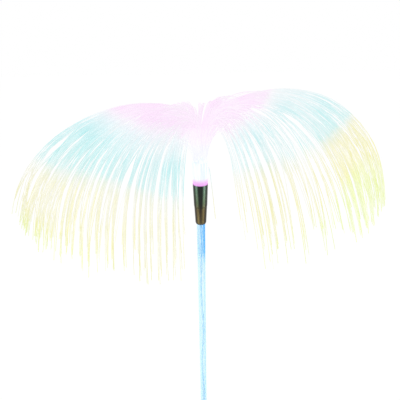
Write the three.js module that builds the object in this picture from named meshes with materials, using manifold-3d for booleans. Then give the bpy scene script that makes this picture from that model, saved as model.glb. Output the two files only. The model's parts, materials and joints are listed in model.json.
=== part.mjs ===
// A solar garden stake light: a fountain of side-glow fibres in a dark ferrule, on a clear tube
// that carries a tilting solar box and plugs into a ground spike.
// Units are millimetres, +Z is up, and the origin is on the tube's axis at the level of the soil.
// The front of the light, where the solar box hangs, is -Y.
import * as THREE from "three";
import { mergeGeometries, mergeVertices } from "three/addons/utils/BufferGeometryUtils.js";
import Module from "manifold-3d";

const wasm = await Module();
wasm.setup();

// Clearances and cutting
const GAP = 0.3; // between two pieces that seat on each other
const OVERRUN = 1; // how far a cutting tool runs past the face that it cuts
const ROOT = 0.6; // how deep a rib or strand is rooted in what carries it
const WELD = 1e-4; // how close two corners are that count as one
const ROUND_SIDES = 32;
const SMALL_SIDES = 12;
const HEXAGON = 6;

// Ground spike
const SPIKE_LENGTH = 150;
const SPIKE_FIN_WIDTH = 20;
const SPIKE_FIN_THICKNESS = 2.4;
const SPIKE_TIP_WIDTH = 3;
const SPIKE_POINT_LENGTH = 26;
const SPIKE_SHOULDER_WIDTH = 11;
const FLANGE_RADIUS = 24;
const FLANGE_THICKNESS = 3.5;
const FLANGE_EDGE = 1.2;
const SOCKET_HEIGHT = 34;
const SOCKET_WALL = 2.2;
const SOCKET_FLOOR = 1.5;
const GUSSET_THICKNESS = 2;
const GUSSET_HEIGHT = 16;

// Clear tube, its foot plug and the rubber bush that grips it in the socket
const TUBE_RADIUS = 5;
const TUBE_WALL = 1;
const TUBE_LENGTH = 520;
const FOOT_DISC_THICKNESS = 1.5;
const FOOT_PLUG_LENGTH = 8;
const FOOT_PLUG_LEAD = 1;
const BUSH_WALL = 1.8;
const BUSH_LIP_HEIGHT = 3;
const BUSH_LIP_WIDTH = 2.2;
const BUSH_LIP_EDGE = 0.8;

// Lamp head: a holder that sleeves over the tube, and a cup that holds the fibre bundle
const HOLDER_LENGTH = 22;
const HOLDER_FOOT_RADIUS = 6.3;
const HOLDER_TOP_RADIUS = 7.25;
const HOLDER_FOOT_ROUNDING = 1.6;
const HOLDER_GRIP = 13.5;
const HOLDER_SHELF = 1.8;
const HOLDER_WIRE_HOLE_RADIUS = 2.2;
const SPIGOT_LENGTH = 6.5;
const SPIGOT_WALL = 1;
const CUP_LENGTH = 26.5;
const CUP_RIM_RADIUS = 8.35;
const CUP_FOOT_RADIUS = 7.5;
const CUP_WALL = 0.8;
const CUP_RIM_ROUNDING = 0.25;

// Light source
const LED_BOARD_RADIUS = 4.9;
const LED_BOARD_THICKNESS = 1.2;
const LED_RADIUS = 2.5;
const LED_FLANGE_RADIUS = 2.9;
const LED_FLANGE_HEIGHT = 1;
const LED_BODY_HEIGHT = 4.6;
const LED_DOME_STEPS = 4;

// Fibre fountain. OUT is away from the tube's axis along X, DEEP is away from it along Y and UP is
// above the cup's rim. Each strand is a cubic curve from the neck, given by its launch, its
// shoulder and its tip. The NEAR strands hang by the tube and the FAR ones reach out. LEFT is -X
// and RIGHT is +X.
const NECK_UP = 24; // where the gathered bundle ends and the strands part
const NECK_RADIUS = 8.4;
const STRAND_RADIUS = 0.27;
const STRAND_TIP_SHARE = 0.6; // a strand's thickness at its tip, of STRAND_RADIUS
const STRAND_SIDES = 3;
const STRAND_STEPS = 5;
const STEP_CROWDING = 1.35; // above 1, the steps are shorter where the strand leaves the neck
const STRANDS_IN_ROWS = [4, 5, 6, 6, 7, 7, 7, 8]; // in each quarter, from the near row to the far
const STRAND_INSET = 0.45; // from the middles of the slits between the quarters to the strands
const SHORTEST_STRAND_SHARE = 0.92;
const LEFT_NEAR_LAUNCH_OUT = 33;
const RIGHT_NEAR_LAUNCH_OUT = 30;
const LEFT_NEAR_LAUNCH_UP = 54;
const RIGHT_NEAR_LAUNCH_UP = 57;
const LEFT_FAR_LAUNCH_UP = 132;
const RIGHT_FAR_LAUNCH_UP = 119;
const LEFT_NEAR_SHOULDER_OUT = 18;
const RIGHT_NEAR_SHOULDER_OUT = 26;
const LEFT_FAR_SHOULDER_OUT = 172;
const RIGHT_FAR_SHOULDER_OUT = 161;
const LEFT_NEAR_SHOULDER_UP = 64;
const RIGHT_NEAR_SHOULDER_UP = 82;
const LEFT_FAR_SHOULDER_UP = 80;
const RIGHT_FAR_SHOULDER_UP = 133;
const LEFT_NEAR_TIP_OUT = 15;
const RIGHT_NEAR_TIP_OUT = 48;
const LEFT_FAR_TIP_OUT = 213;
const RIGHT_FAR_TIP_OUT = 207;
const LEFT_NEAR_TIP_DROP = 100;
const RIGHT_NEAR_TIP_DROP = 84;
const LEFT_FAR_TIP_DROP = 30;
const RIGHT_FAR_TIP_DROP = 20;
const LAUNCH_POWER = 1.25; // above 1, more of the strands launch as the near ones do
const SHOULDER_POWER = 0.5; // below 1, more of the shoulders are as high as the far ones
const TIP_POWER = 7; // above 1, more of the tips hang as low as the near ones
const TIP_DEPTH = 86; // how far before and behind the tube the deepest tips of the near strands are
const OVAL_OUT = 216; // where the oval that the tips keep within, seen from above, would close
const LAUNCH_DEEP_SHARE = 0.04; // of the tip's depth
const SHOULDER_DEEP_SHARE = 0.72; // of the tip's depth
const FLARE_DEPTH = 331; // this far behind the tube, the strands would reach out twice as far
const LEAN_SHARE = 0.2; // how much lower the fountain hangs behind, of the depth
// The fountain's quarters in turn from +X to +Y, and the sides of the tube that they are on
const FAN_QUARTERS = [
  { name: "right_back", sideX: 1, sideY: 1 },
  { name: "left_back", sideX: -1, sideY: 1 },
  { name: "left_front", sideX: -1, sideY: -1 },
  { name: "right_front", sideX: 1, sideY: -1 },
];

// Clamp and arm that carry the solar box
const ARM_LEVEL = 110; // the tilt axis above the soil
const ARM_REACH = 42; // from the tube's axis to the tilt axis
const ARM_THICKNESS = 8;
const ARM_ROOT_TOP = 9;
const ARM_ROOT_BOTTOM = 6;
const LUG_RADIUS = 7;
const CLAMP_ABOVE = 12;
const CLAMP_BELOW = 18;
const CLAMP_WALL = 4.5;
const CLAMP_EAR_WIDTH = 7.5;
const CLAMP_EAR_THICKNESS = 4.5;
const CLAMP_SPLIT = 1;
const WIRE_EXIT_BELOW = 12; // the wires' way out, below the tilt axis

// Screws
const CLAMP_SCREW_RADIUS = 1.5;
const CLAMP_SCREW_HEAD_RADIUS = 2.9;
const CLAMP_SCREW_HEAD_HEIGHT = 2;
const CLAMP_SCREW_TIP = 0.8;
const CASE_SCREW_RADIUS = 1.3;
const CASE_SCREW_HEAD_RADIUS = 2.4;
const CASE_SCREW_HEAD_HEIGHT = 1.8;
const CASE_SCREW_TIP = 0.7;
const CASE_SCREW_BITE = 2;

// Tilt bolt and star knob
const BOLT_RADIUS = 2;
const BOLT_HEAD_RADIUS = 3.8;
const BOLT_HEAD_HEIGHT = 2.8;
const KNOB_RADIUS = 8.5;
const KNOB_THICKNESS = 7;
const KNOB_LOBES = 6;
const KNOB_NOTCH_RADIUS = 2.6;
const KNOB_CAP = 1.6;

// Solar box
const PANEL_WIDTH = 76;
const PANEL_HEIGHT = 76;
const PANEL_CORNER = 7;
const SHELL_DEPTH = 18;
const SHELL_WALL = 2.6;
const BEZEL_DEPTH = 4;
const BEZEL_LIP = 1.2;
const BEZEL_CHAMFER = 0.8;
const WINDOW_BORDER = 8; // from the box's sides to the window's
const WINDOW_CORNER = 3;
const WINDOW_LEDGE = 2;
const WINDOW_THICKNESS = 1.4;
const GASKET_WIDTH = 1;
const GASKET_THICKNESS = 0.8;
const EAR_THICKNESS = 4;
const EAR_STANDOFF = 13; // from the tilt axis to the box's back
const EAR_ROOT_HALF_HEIGHT = 9.5;
const CASE_BOSS_RADIUS = 3.6;
const CASE_BOSS_INSET = 5; // from the box's side to a screw's axis
const TILT_FROM_UPRIGHT = THREE.MathUtils.degToRad(45);

// Solar cell
const CELL_MARGIN = 1.2;
const CELL_BASE_THICKNESS = 0.4;
const CELL_STRIP_THICKNESS = 0.25;
const CELL_STRIPS = 4;
const CELL_STRIP_GAP = 1;

// Battery bay on the box's back, behind a cover that slides out to +X
const BATTERY_RADIUS = 5.25;
const BATTERY_LENGTH = 43.3;
const BATTERY_BUTTON_RADIUS = 1.9;
const BATTERY_BUTTON_LENGTH = 1.2;
const BATTERY_INSET = 17.5; // from the box's top to the battery's axis
const BAY_WALL = 1.6;
const BAY_FLOOR = 1.4;
const CONTACT_SIZE = 7.5;
const CONTACT_THICKNESS = 0.5;
const SPRING_WIRE_RADIUS = 0.35;
const SPRING_RADIUS = 2.6;
const SPRING_WIRE_SIDES = 5;
const SPRING_TURNS = 3;
const SPRING_STEPS_PER_TURN = 8;
const SPRING_LENGTH = 4.2;
const COVER_OVERLAP = 2.9; // how far the cover runs past the bay's blind end
const COVER_WIDTH = 17;
const COVER_THICKNESS = 1.9;
const COVER_DOVETAIL = 1;
const GRIP_RIBS = 4;
const GRIP_RIB_WIDTH = 0.8;
const GRIP_RIB_HEIGHT = 0.5;
const GRIP_RIB_PITCH = 2.4;

// Electronics and power button
const BOARD_LENGTH = 46;
const BOARD_WIDTH = 24;
const BOARD_THICKNESS = 1.2;
const BOARD_INSET = 19; // from the box's bottom to the board's middle
const BOARD_STANDOFF = 5.4; // clear height between the shell's floor and the board
const BOARD_POST_RADIUS = 2.2;
const BOARD_POST_INSET = 3;
const CHIP_LENGTH = 6;
const CHIP_WIDTH = 5;
const CHIP_HEIGHT = 1.6;
const COIL_RADIUS = 2.6;
const COIL_HEIGHT = 4;
const SWITCH_SIZE = 7;
const SWITCH_HEIGHT = 2;
const BUTTON_RADIUS = 4.2;
const BUTTON_STANDS_OUT = 2;
const BUTTON_DOME = 0.7;
const BUTTON_FLANGE_WIDTH = 0.9;
const BUTTON_FLANGE_THICKNESS = 0.8;
const BUTTON_TRAVEL = 0.8;
const BUTTON_NIB_RADIUS = 1.6;
const BUTTON_OUT = 16; // from the middle of the box, to +X

// Grommets, in the clamp and in the box
const GROMMET_BORE = 1.7;
const GROMMET_WALL = 0.9;
const GROMMET_LIP_WIDTH = 1;
const GROMMET_LIP_THICKNESS = 1.2;

// Wires
const WIRE_RADIUS = 0.5;
const WIRE_SPACING = 1.7; // between the two wires' axes
const WIRE_TWIST_PITCH = 56;
const WIRE_WANDER = 1.3;
const WIRE_WANDER_LENGTH = 150;
const WIRE_SIDES = HEXAGON;
const WIRE_STEPS_PER_TWIST = 6;
const WIRE_TURN = 5; // the bend from the tube into the grommet

// Places that follow from the sizes
const TUBE_BORE = TUBE_RADIUS - TUBE_WALL;
const SOCKET_BORE = TUBE_RADIUS + GAP + BUSH_WALL + GAP;
const SOCKET_RADIUS = SOCKET_BORE + SOCKET_WALL;
const SOCKET_FLOOR_Z = FLANGE_THICKNESS + SOCKET_FLOOR;
const SOCKET_TOP_Z = FLANGE_THICKNESS + SOCKET_HEIGHT;
const TUBE_FOOT_Z = SOCKET_FLOOR_Z + GAP + FOOT_DISC_THICKNESS + GAP;
const TUBE_TOP_Z = TUBE_FOOT_Z + TUBE_LENGTH;
const HOLDER_FOOT_Z = TUBE_TOP_Z + GAP - HOLDER_GRIP;
const HOLDER_TOP_Z = HOLDER_FOOT_Z + HOLDER_LENGTH;
const SHELF_Z = TUBE_TOP_Z + GAP + HOLDER_SHELF;
const CUP_FOOT_Z = HOLDER_TOP_Z + GAP;
const RIM_Z = CUP_FOOT_Z + CUP_LENGTH;
const SPIGOT_TOP_Z = CUP_FOOT_Z + SPIGOT_LENGTH;
const BUNDLE_FOOT_Z = SPIGOT_TOP_Z + GAP;
const NECK_Z = RIM_Z + NECK_UP;
const CLAMP_BORE = TUBE_RADIUS + GAP;
const CLAMP_RADIUS = CLAMP_BORE + CLAMP_WALL;
const CLAMP_TOP_Z = ARM_LEVEL + CLAMP_ABOVE;
const CLAMP_FOOT_Z = ARM_LEVEL - CLAMP_BELOW;
const WIRE_EXIT_Z = ARM_LEVEL - WIRE_EXIT_BELOW;
const SHELL_BACK_Y = -EAR_STANDOFF;
const SHELL_FLOOR_Y = SHELL_BACK_Y - SHELL_WALL;
const SHELL_RIM_Y = SHELL_BACK_Y - SHELL_DEPTH;
const BEZEL_BACK_Y = SHELL_RIM_Y - GAP;
const BEZEL_FRONT_Y = BEZEL_BACK_Y - BEZEL_DEPTH;
const GROMMET_RADIUS = GROMMET_BORE + GROMMET_WALL;
const WINDOW_WIDTH = PANEL_WIDTH - WINDOW_BORDER * 2;
const WINDOW_HEIGHT = PANEL_HEIGHT - WINDOW_BORDER * 2;
const BAY_LEVEL = PANEL_HEIGHT / 2 - BATTERY_INSET;
const BOARD_LEVEL = BOARD_INSET - PANEL_HEIGHT / 2;
const EAR_INSIDE = ARM_THICKNESS / 2 + GAP;
const EAR_OUTSIDE = EAR_INSIDE + EAR_THICKNESS;

// Materials
const finish = (color, roughness, metalness = 0, more = {}) =>
  new THREE.MeshStandardMaterial({ color, roughness, metalness, ...more });
const glassy = { transparent: true, opacity: 0.4 };
const blackAbs = finish(0x1b1c1e, 0.55);
const gunmetal = finish(0x2b302a, 0.22, 0.6);
const clearTube = finish(0xbfe6fb, 0.08, 0, glassy);
const clearWindow = finish(0xdfe9f2, 0.05, 0, glassy);
const rubber = finish(0x151515, 0.85);
const glowFibre = finish(0xf4eefb, 0.35, 0, { emissive: 0x332d3a });
const wireSkin = finish(0x9fd4f2, 0.5);
const steel = finish(0xb9bcc0, 0.35, 0.9);
const siliconBlue = finish(0x101a3c, 0.25, 0.2);
const boardGreen = finish(0x1f5a35, 0.6);
const chipBlack = finish(0x121212, 0.5);
const copperCoil = finish(0x9a5a32, 0.45, 0.6);
const ledLens = finish(0xf6f6fa, 0.15, 0, glassy);
const batteryWrap = finish(0x2f8f4f, 0.4);

// Geometry helpers. Every one returns a closed three.js geometry with its faces pointing out.

// The closed geometry as a solid that can be joined and cut.
function solidOf(geometry) {
  const loose = geometry.index ? geometry.toNonIndexed() : geometry;
  const bare = new THREE.BufferGeometry().setAttribute("position", loose.getAttribute("position"));
  const merged = mergeVertices(bare, WELD);
  return new wasm.Manifold(
    new wasm.Mesh({
      numProp: 3,
      vertProperties: new Float32Array(merged.attributes.position.array),
      triVerts: new Uint32Array(merged.index.array),
    }),
  );
}

function geometryOf(solid) {
  const mesh = solid.getMesh();
  const count = mesh.vertProperties.length / mesh.numProp;
  const points = new Float32Array(count * 3);
  for (let i = 0; i < count; i++) {
    points.set(mesh.vertProperties.subarray(i * mesh.numProp, i * mesh.numProp + 3), i * 3);
  }
  return new THREE.BufferGeometry()
    .setAttribute("position", new THREE.BufferAttribute(points, 3))
    .setIndex(new THREE.BufferAttribute(new Uint32Array(mesh.triVerts), 1));
}

const joined = (first, ...others) =>
  geometryOf(others.reduce((whole, piece) => whole.add(solidOf(piece)), solidOf(first)));

const cut = (first, ...tools) =>
  geometryOf(tools.reduce((whole, tool) => whole.subtract(solidOf(tool)), solidOf(first)));

const common = (first, second) => geometryOf(solidOf(first).intersect(solidOf(second)));

// A body of revolution about Z. The profile is [radius, z] points, counterclockwise from the axis.
function turned(profile, sides = ROUND_SIDES) {
  const points = profile.map(([radius, z]) => new THREE.Vector2(radius, z));
  return new THREE.LatheGeometry(points, sides).rotateX(Math.PI / 2);
}

const rod = (radius, low, high, sides = ROUND_SIDES) =>
  new THREE.CylinderGeometry(radius, radius, high - low, sides)
    .rotateX(Math.PI / 2)
    .translate(0, 0, (low + high) / 2);

const block = ([x0, x1], [y0, y1], [z0, z1]) =>
  new THREE.BoxGeometry(x1 - x0, y1 - y0, z1 - z0).translate(
    (x0 + x1) / 2,
    (y0 + y1) / 2,
    (z0 + z1) / 2,
  );

const shapeOf = (points) => new THREE.Shape(points.map(([x, y]) => new THREE.Vector2(x, y)));

// An outline drawn in Y and Z, given its thickness along X.
const sidePlate = (shape, low, high, curveSegments = SMALL_SIDES) =>
  new THREE.ExtrudeGeometry(shape, { depth: high - low, bevelEnabled: false, curveSegments })
    .rotateZ(Math.PI / 2)
    .rotateY(Math.PI / 2)
    .translate(low, 0, 0);

// A slab with round corners, square to Y, from front to back.
function slab(width, height, corner, front, back) {
  const [w, h] = [width / 2 - corner, height / 2 - corner];
  const shape = new THREE.Shape();
  shape.absarc(w, h, corner, 0, Math.PI / 2);
  shape.absarc(-w, h, corner, Math.PI / 2, Math.PI);
  shape.absarc(-w, -h, corner, Math.PI, Math.PI * 1.5);
  shape.absarc(w, -h, corner, Math.PI * 1.5, Math.PI * 2);
  return new THREE.ExtrudeGeometry(shape, {
    depth: back - front,
    bevelEnabled: false,
    curveSegments: SMALL_SIDES / 4,
  })
    .rotateX(Math.PI / 2)
    .translate(0, back, 0);
}

// A turned piece whose axis runs back along +Y: its profile's z becomes y.
const facingBack = (geometry) => geometry.rotateX(-Math.PI / 2);

// A turned piece whose axis runs to the right along +X: its profile's z becomes x.
const facingRight = (geometry) => geometry.rotateY(Math.PI / 2);

function tubeAlong(points, radius, sides, steps) {
  const section = new THREE.Shape();
  for (let i = 0; i < sides; i++) {
    const angle = (2 * Math.PI * i) / sides;
    const corner = [radius * Math.cos(angle), radius * Math.sin(angle)];
    if (i) section.lineTo(...corner);
    else section.moveTo(...corner);
  }
  section.closePath();
  return new THREE.ExtrudeGeometry(section, {
    steps,
    curveSegments: 1,
    bevelEnabled: false,
    extrudePath: new THREE.CatmullRomCurve3(points),
  });
}

function piece(parent, name, geometry, material) {
  geometry.computeVertexNormals();
  const mesh = new THREE.Mesh(geometry, material);
  mesh.name = name;
  parent.add(mesh);
  return mesh;
}

// Ground spike: two crossed fins below the soil, a flange on it and a ribbed socket above.
function groundSpike() {
  const [top, shoulder, tip] = [SPIKE_FIN_WIDTH / 2, SPIKE_SHOULDER_WIDTH / 2, SPIKE_TIP_WIDTH / 2];
  const shoulderZ = SPIKE_POINT_LENGTH - SPIKE_LENGTH;
  const outline = shapeOf([
    [-tip, -SPIKE_LENGTH],
    [tip, -SPIKE_LENGTH],
    [shoulder, shoulderZ],
    [top, FLANGE_THICKNESS / 2],
    [-top, FLANGE_THICKNESS / 2],
    [-shoulder, shoulderZ],
  ]);
  const fin = sidePlate(outline, -SPIKE_FIN_THICKNESS / 2, SPIKE_FIN_THICKNESS / 2);
  const body = turned([
    [0, 0],
    [FLANGE_RADIUS - FLANGE_EDGE, 0],
    [FLANGE_RADIUS, FLANGE_EDGE],
    [FLANGE_RADIUS, FLANGE_THICKNESS - FLANGE_EDGE],
    [FLANGE_RADIUS - FLANGE_EDGE, FLANGE_THICKNESS],
    [SOCKET_RADIUS, FLANGE_THICKNESS],
    [SOCKET_RADIUS, SOCKET_TOP_Z],
    [SOCKET_BORE, SOCKET_TOP_Z],
    [SOCKET_BORE, SOCKET_FLOOR_Z],
    [0, SOCKET_FLOOR_Z],
  ]);
  const gussetRoot = SOCKET_BORE + SOCKET_WALL / 2;
  const gussets = [0, 1, 2, 3].map((quarter) =>
    sidePlate(
      shapeOf([
        [gussetRoot, FLANGE_THICKNESS / 2],
        [FLANGE_RADIUS - FLANGE_EDGE, FLANGE_THICKNESS / 2],
        [FLANGE_RADIUS - FLANGE_EDGE, FLANGE_THICKNESS],
        [gussetRoot, FLANGE_THICKNESS + GUSSET_HEIGHT],
      ]),
      -GUSSET_THICKNESS / 2,
      GUSSET_THICKNESS / 2,
    ).rotateZ((quarter * Math.PI) / 2),
  );
  return joined(body, fin, fin.clone().rotateZ(Math.PI / 2), ...gussets);
}

// Rubber bush: a sleeve in the socket, with a lip that sits on the socket's mouth.
function socketBush() {
  const [bore, outside] = [TUBE_RADIUS + GAP, TUBE_RADIUS + GAP + BUSH_WALL];
  const lip = outside + BUSH_LIP_WIDTH;
  const lipZ = SOCKET_TOP_Z + GAP;
  return turned([
    [bore, TUBE_FOOT_Z],
    [outside, TUBE_FOOT_Z],
    [outside, lipZ],
    [lip, lipZ],
    [lip, lipZ + BUSH_LIP_HEIGHT - BUSH_LIP_EDGE],
    [lip - BUSH_LIP_EDGE, lipZ + BUSH_LIP_HEIGHT],
    [bore, lipZ + BUSH_LIP_HEIGHT],
    [bore, TUBE_FOOT_Z],
  ]);
}

function stemTube() {
  const tube = turned([
    [TUBE_BORE, TUBE_FOOT_Z],
    [TUBE_RADIUS, TUBE_FOOT_Z],
    [TUBE_RADIUS, TUBE_TOP_Z],
    [TUBE_BORE, TUBE_TOP_Z],
    [TUBE_BORE, TUBE_FOOT_Z],
  ]);
  const wireHole = facingBack(rod(GROMMET_RADIUS, -TUBE_RADIUS - OVERRUN, 0, SMALL_SIDES));
  return cut(tube, wireHole.translate(0, 0, WIRE_EXIT_Z));
}

// Foot plug: a disc under the tube's end with a spigot up its bore.
function footPlug() {
  const discTop = TUBE_FOOT_Z - GAP;
  const spigot = TUBE_BORE - GAP;
  const spigotTop = discTop + FOOT_PLUG_LENGTH;
  return turned(
    [
      [0, discTop - FOOT_DISC_THICKNESS],
      [TUBE_RADIUS, discTop - FOOT_DISC_THICKNESS],
      [TUBE_RADIUS, discTop],
      [spigot, discTop],
      [spigot, spigotTop - FOOT_PLUG_LEAD],
      [spigot - FOOT_PLUG_LEAD, spigotTop],
      [0, spigotTop],
    ],
    SMALL_SIDES,
  );
}

// The cup's outer and inner radius at a height. Its wall is even, so the bore tapers with it.
function cupRadius(z) {
  const share = (z - CUP_FOOT_Z) / CUP_LENGTH;
  return CUP_FOOT_RADIUS + (CUP_RIM_RADIUS - CUP_FOOT_RADIUS) * share;
}
const cupBore = (z) => cupRadius(z) - CUP_WALL;

function fibreCup() {
  return turned([
    [cupBore(CUP_FOOT_Z), CUP_FOOT_Z],
    [cupRadius(CUP_FOOT_Z), CUP_FOOT_Z],
    [cupRadius(RIM_Z - CUP_RIM_ROUNDING), RIM_Z - CUP_RIM_ROUNDING],
    [cupRadius(RIM_Z) - CUP_RIM_ROUNDING, RIM_Z],
    [cupBore(RIM_Z), RIM_Z],
    [cupBore(CUP_FOOT_Z), CUP_FOOT_Z],
  ]);
}

// Lamp holder: grips the tube below, carries the LED board on a shelf, and plugs into the cup above.
function lampHolder() {
  const grip = TUBE_RADIUS + GAP;
  const spigotLow = cupBore(CUP_FOOT_Z) - GAP;
  const spigotHigh = cupBore(SPIGOT_TOP_Z) - GAP;
  const chamber = spigotLow - SPIGOT_WALL;
  const shelfUnder = TUBE_TOP_Z + GAP;
  return turned([
    [grip, HOLDER_FOOT_Z],
    [HOLDER_FOOT_RADIUS - HOLDER_FOOT_ROUNDING / 3, HOLDER_FOOT_Z],
    [HOLDER_FOOT_RADIUS, HOLDER_FOOT_Z + HOLDER_FOOT_ROUNDING],
    [HOLDER_TOP_RADIUS, HOLDER_TOP_Z],
    [spigotLow, HOLDER_TOP_Z],
    [spigotLow, CUP_FOOT_Z],
    [spigotHigh, SPIGOT_TOP_Z],
    [chamber, SPIGOT_TOP_Z],
    [chamber, SHELF_Z],
    [HOLDER_WIRE_HOLE_RADIUS, SHELF_Z],
    [HOLDER_WIRE_HOLE_RADIUS, shelfUnder],
    [grip, shelfUnder],
    [grip, HOLDER_FOOT_Z],
  ]);
}

const ledBoard = () =>
  rod(LED_BOARD_RADIUS, SHELF_Z + GAP, SHELF_Z + GAP + LED_BOARD_THICKNESS, SMALL_SIDES);

function ledLamp() {
  const foot = SHELF_Z + GAP + LED_BOARD_THICKNESS + GAP;
  const domeFoot = foot + LED_BODY_HEIGHT;
  const dome = Array.from({ length: LED_DOME_STEPS }, (_, i) => {
    const angle = (i / LED_DOME_STEPS) * (Math.PI / 2);
    return [LED_RADIUS * Math.cos(angle), domeFoot + LED_RADIUS * Math.sin(angle)];
  });
  return turned(
    [
      [0, foot],
      [LED_FLANGE_RADIUS, foot],
      [LED_FLANGE_RADIUS, foot + LED_FLANGE_HEIGHT],
      [LED_RADIUS, foot + LED_FLANGE_HEIGHT],
      ...dome,
      [0, domeFoot + LED_RADIUS],
    ],
    SMALL_SIDES,
  );
}

// Fibres. The strands leave the bundle in rows across it. The rows further to the side droop
// sooner and hang nearer the tube, so that the arcs nest inside each other and none crosses
// another.

const mixOf = (low, high, share) => low + (high - low) * share;

// A strand's control points as distances out, deep and up. farShare is 0 for the strands that hang
// by the tube and 1 for those that reach out. deepShare is 0 by the plane of the tube and the two
// lobes, and 1 at the fountain's front and back.
function strandControls({ sideX, out, deep, farShare, deepShare }) {
  const ofSide = (left, right) => (sideX < 0 ? left : right);
  const layers = (near, far, power = 1) => mixOf(near, far, farShare ** power);
  const tipOut = layers(
    ofSide(LEFT_NEAR_TIP_OUT, RIGHT_NEAR_TIP_OUT),
    ofSide(LEFT_FAR_TIP_OUT, RIGHT_FAR_TIP_OUT),
  );
  const ovalShare = Math.sqrt(Math.max(0, 1 - (tipOut / OVAL_OUT) ** 2));
  const tipDeep = Math.max(deep, TIP_DEPTH * ovalShare * deepShare);
  return {
    outs: [
      out,
      layers(ofSide(LEFT_NEAR_LAUNCH_OUT, RIGHT_NEAR_LAUNCH_OUT), 0, LAUNCH_POWER),
      layers(
        ofSide(LEFT_NEAR_SHOULDER_OUT, RIGHT_NEAR_SHOULDER_OUT),
        ofSide(LEFT_FAR_SHOULDER_OUT, RIGHT_FAR_SHOULDER_OUT),
      ),
      tipOut,
    ],
    deeps: [
      deep,
      deep + tipDeep * LAUNCH_DEEP_SHARE,
      Math.max(deep, tipDeep * SHOULDER_DEEP_SHARE),
      tipDeep,
    ],
    ups: [
      NECK_UP - ROOT,
      layers(
        ofSide(LEFT_NEAR_LAUNCH_UP, RIGHT_NEAR_LAUNCH_UP),
        ofSide(LEFT_FAR_LAUNCH_UP, RIGHT_FAR_LAUNCH_UP),
        LAUNCH_POWER,
      ),
      layers(
        ofSide(LEFT_NEAR_SHOULDER_UP, RIGHT_NEAR_SHOULDER_UP),
        ofSide(LEFT_FAR_SHOULDER_UP, RIGHT_FAR_SHOULDER_UP),
        SHOULDER_POWER,
      ),
      -layers(
        ofSide(LEFT_NEAR_TIP_DROP, RIGHT_NEAR_TIP_DROP),
        ofSide(LEFT_FAR_TIP_DROP, RIGHT_FAR_TIP_DROP),
        TIP_POWER,
      ),
    ],
  };
}

// A point on a strand. The flare and the lean depend only on how deep the point is, so they keep
// the arcs nested.
function strandPoint({ sideX, sideY, deep }, { outs, deeps, ups }, share) {
  const rest = 1 - share;
  const weights = [rest ** 3, 3 * rest ** 2 * share, 3 * rest * share ** 2, share ** 3];
  const sum = (values) => values.reduce((total, value, i) => total + value * weights[i], 0);
  const behind = sideY * sum(deeps);
  const drop = (behind - sideY * deep) * LEAN_SHARE;
  return new THREE.Vector3(
    sideX * sum(outs) * (1 + behind / FLARE_DEPTH),
    behind,
    RIM_Z + sum(ups) - drop,
  );
}

// One closed strand of a few sides, thinner at its tip. Each ring of corners halves the bend
// between the runs that meet in it, and the first side is carried along, so nothing twists.
function strand(root, reachShare) {
  const controls = strandControls(root);
  const points = Array.from({ length: STRAND_STEPS + 1 }, (_, step) =>
    strandPoint(root, controls, Math.min(reachShare, (step / STRAND_STEPS) ** STEP_CROWDING)),
  );
  const runs = points.slice(1).map((point, step) => point.clone().sub(points[step]).normalize());
  const reach = points[STRAND_STEPS].clone().sub(points[0]);
  const side = new THREE.Vector3(-reach.y, reach.x, 0);
  const rings = points.map((at, step) => {
    const before = runs[Math.max(0, step - 1)];
    const along = runs[Math.min(step, STRAND_STEPS - 1)].clone().add(before).normalize();
    side.addScaledVector(along, -side.dot(along)).normalize();
    const other = new THREE.Vector3().crossVectors(along, side);
    const radius = STRAND_RADIUS * mixOf(1, STRAND_TIP_SHARE, step / STRAND_STEPS);
    return Array.from({ length: STRAND_SIDES }, (_, i) => {
      const turn = (2 * Math.PI * i) / STRAND_SIDES;
      return at
        .clone()
        .addScaledVector(side, radius * Math.cos(turn))
        .addScaledVector(other, radius * Math.sin(turn));
    });
  });
  const positions = [];
  const face = (a, b, c) => positions.push(...a.toArray(), ...b.toArray(), ...c.toArray());
  const next = (i) => (i + 1) % STRAND_SIDES;
  for (let step = 0; step < STRAND_STEPS; step++) {
    const [low, high] = [rings[step], rings[step + 1]];
    for (let i = 0; i < STRAND_SIDES; i++) {
      face(low[i], low[next(i)], high[next(i)]);
      face(low[i], high[next(i)], high[i]);
    }
  }
  for (let i = 1; i < STRAND_SIDES - 1; i++) {
    face(rings[0][0], rings[0][i + 1], rings[0][i]);
    face(rings[STRAND_STEPS][0], rings[STRAND_STEPS][i], rings[STRAND_STEPS][i + 1]);
  }
  return new THREE.BufferGeometry().setAttribute(
    "position",
    new THREE.Float32BufferAttribute(positions, 3),
  );
}

// The gathered bundle, bonded into one piece in the cup and flared at its neck.
function bundleCore() {
  const inCup = (z) => cupBore(z) - GAP;
  return turned([
    [0, BUNDLE_FOOT_Z],
    [inCup(BUNDLE_FOOT_Z), BUNDLE_FOOT_Z],
    [inCup(RIM_Z), RIM_Z],
    [NECK_RADIUS, NECK_Z],
    [0, NECK_Z],
  ]);
}

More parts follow.
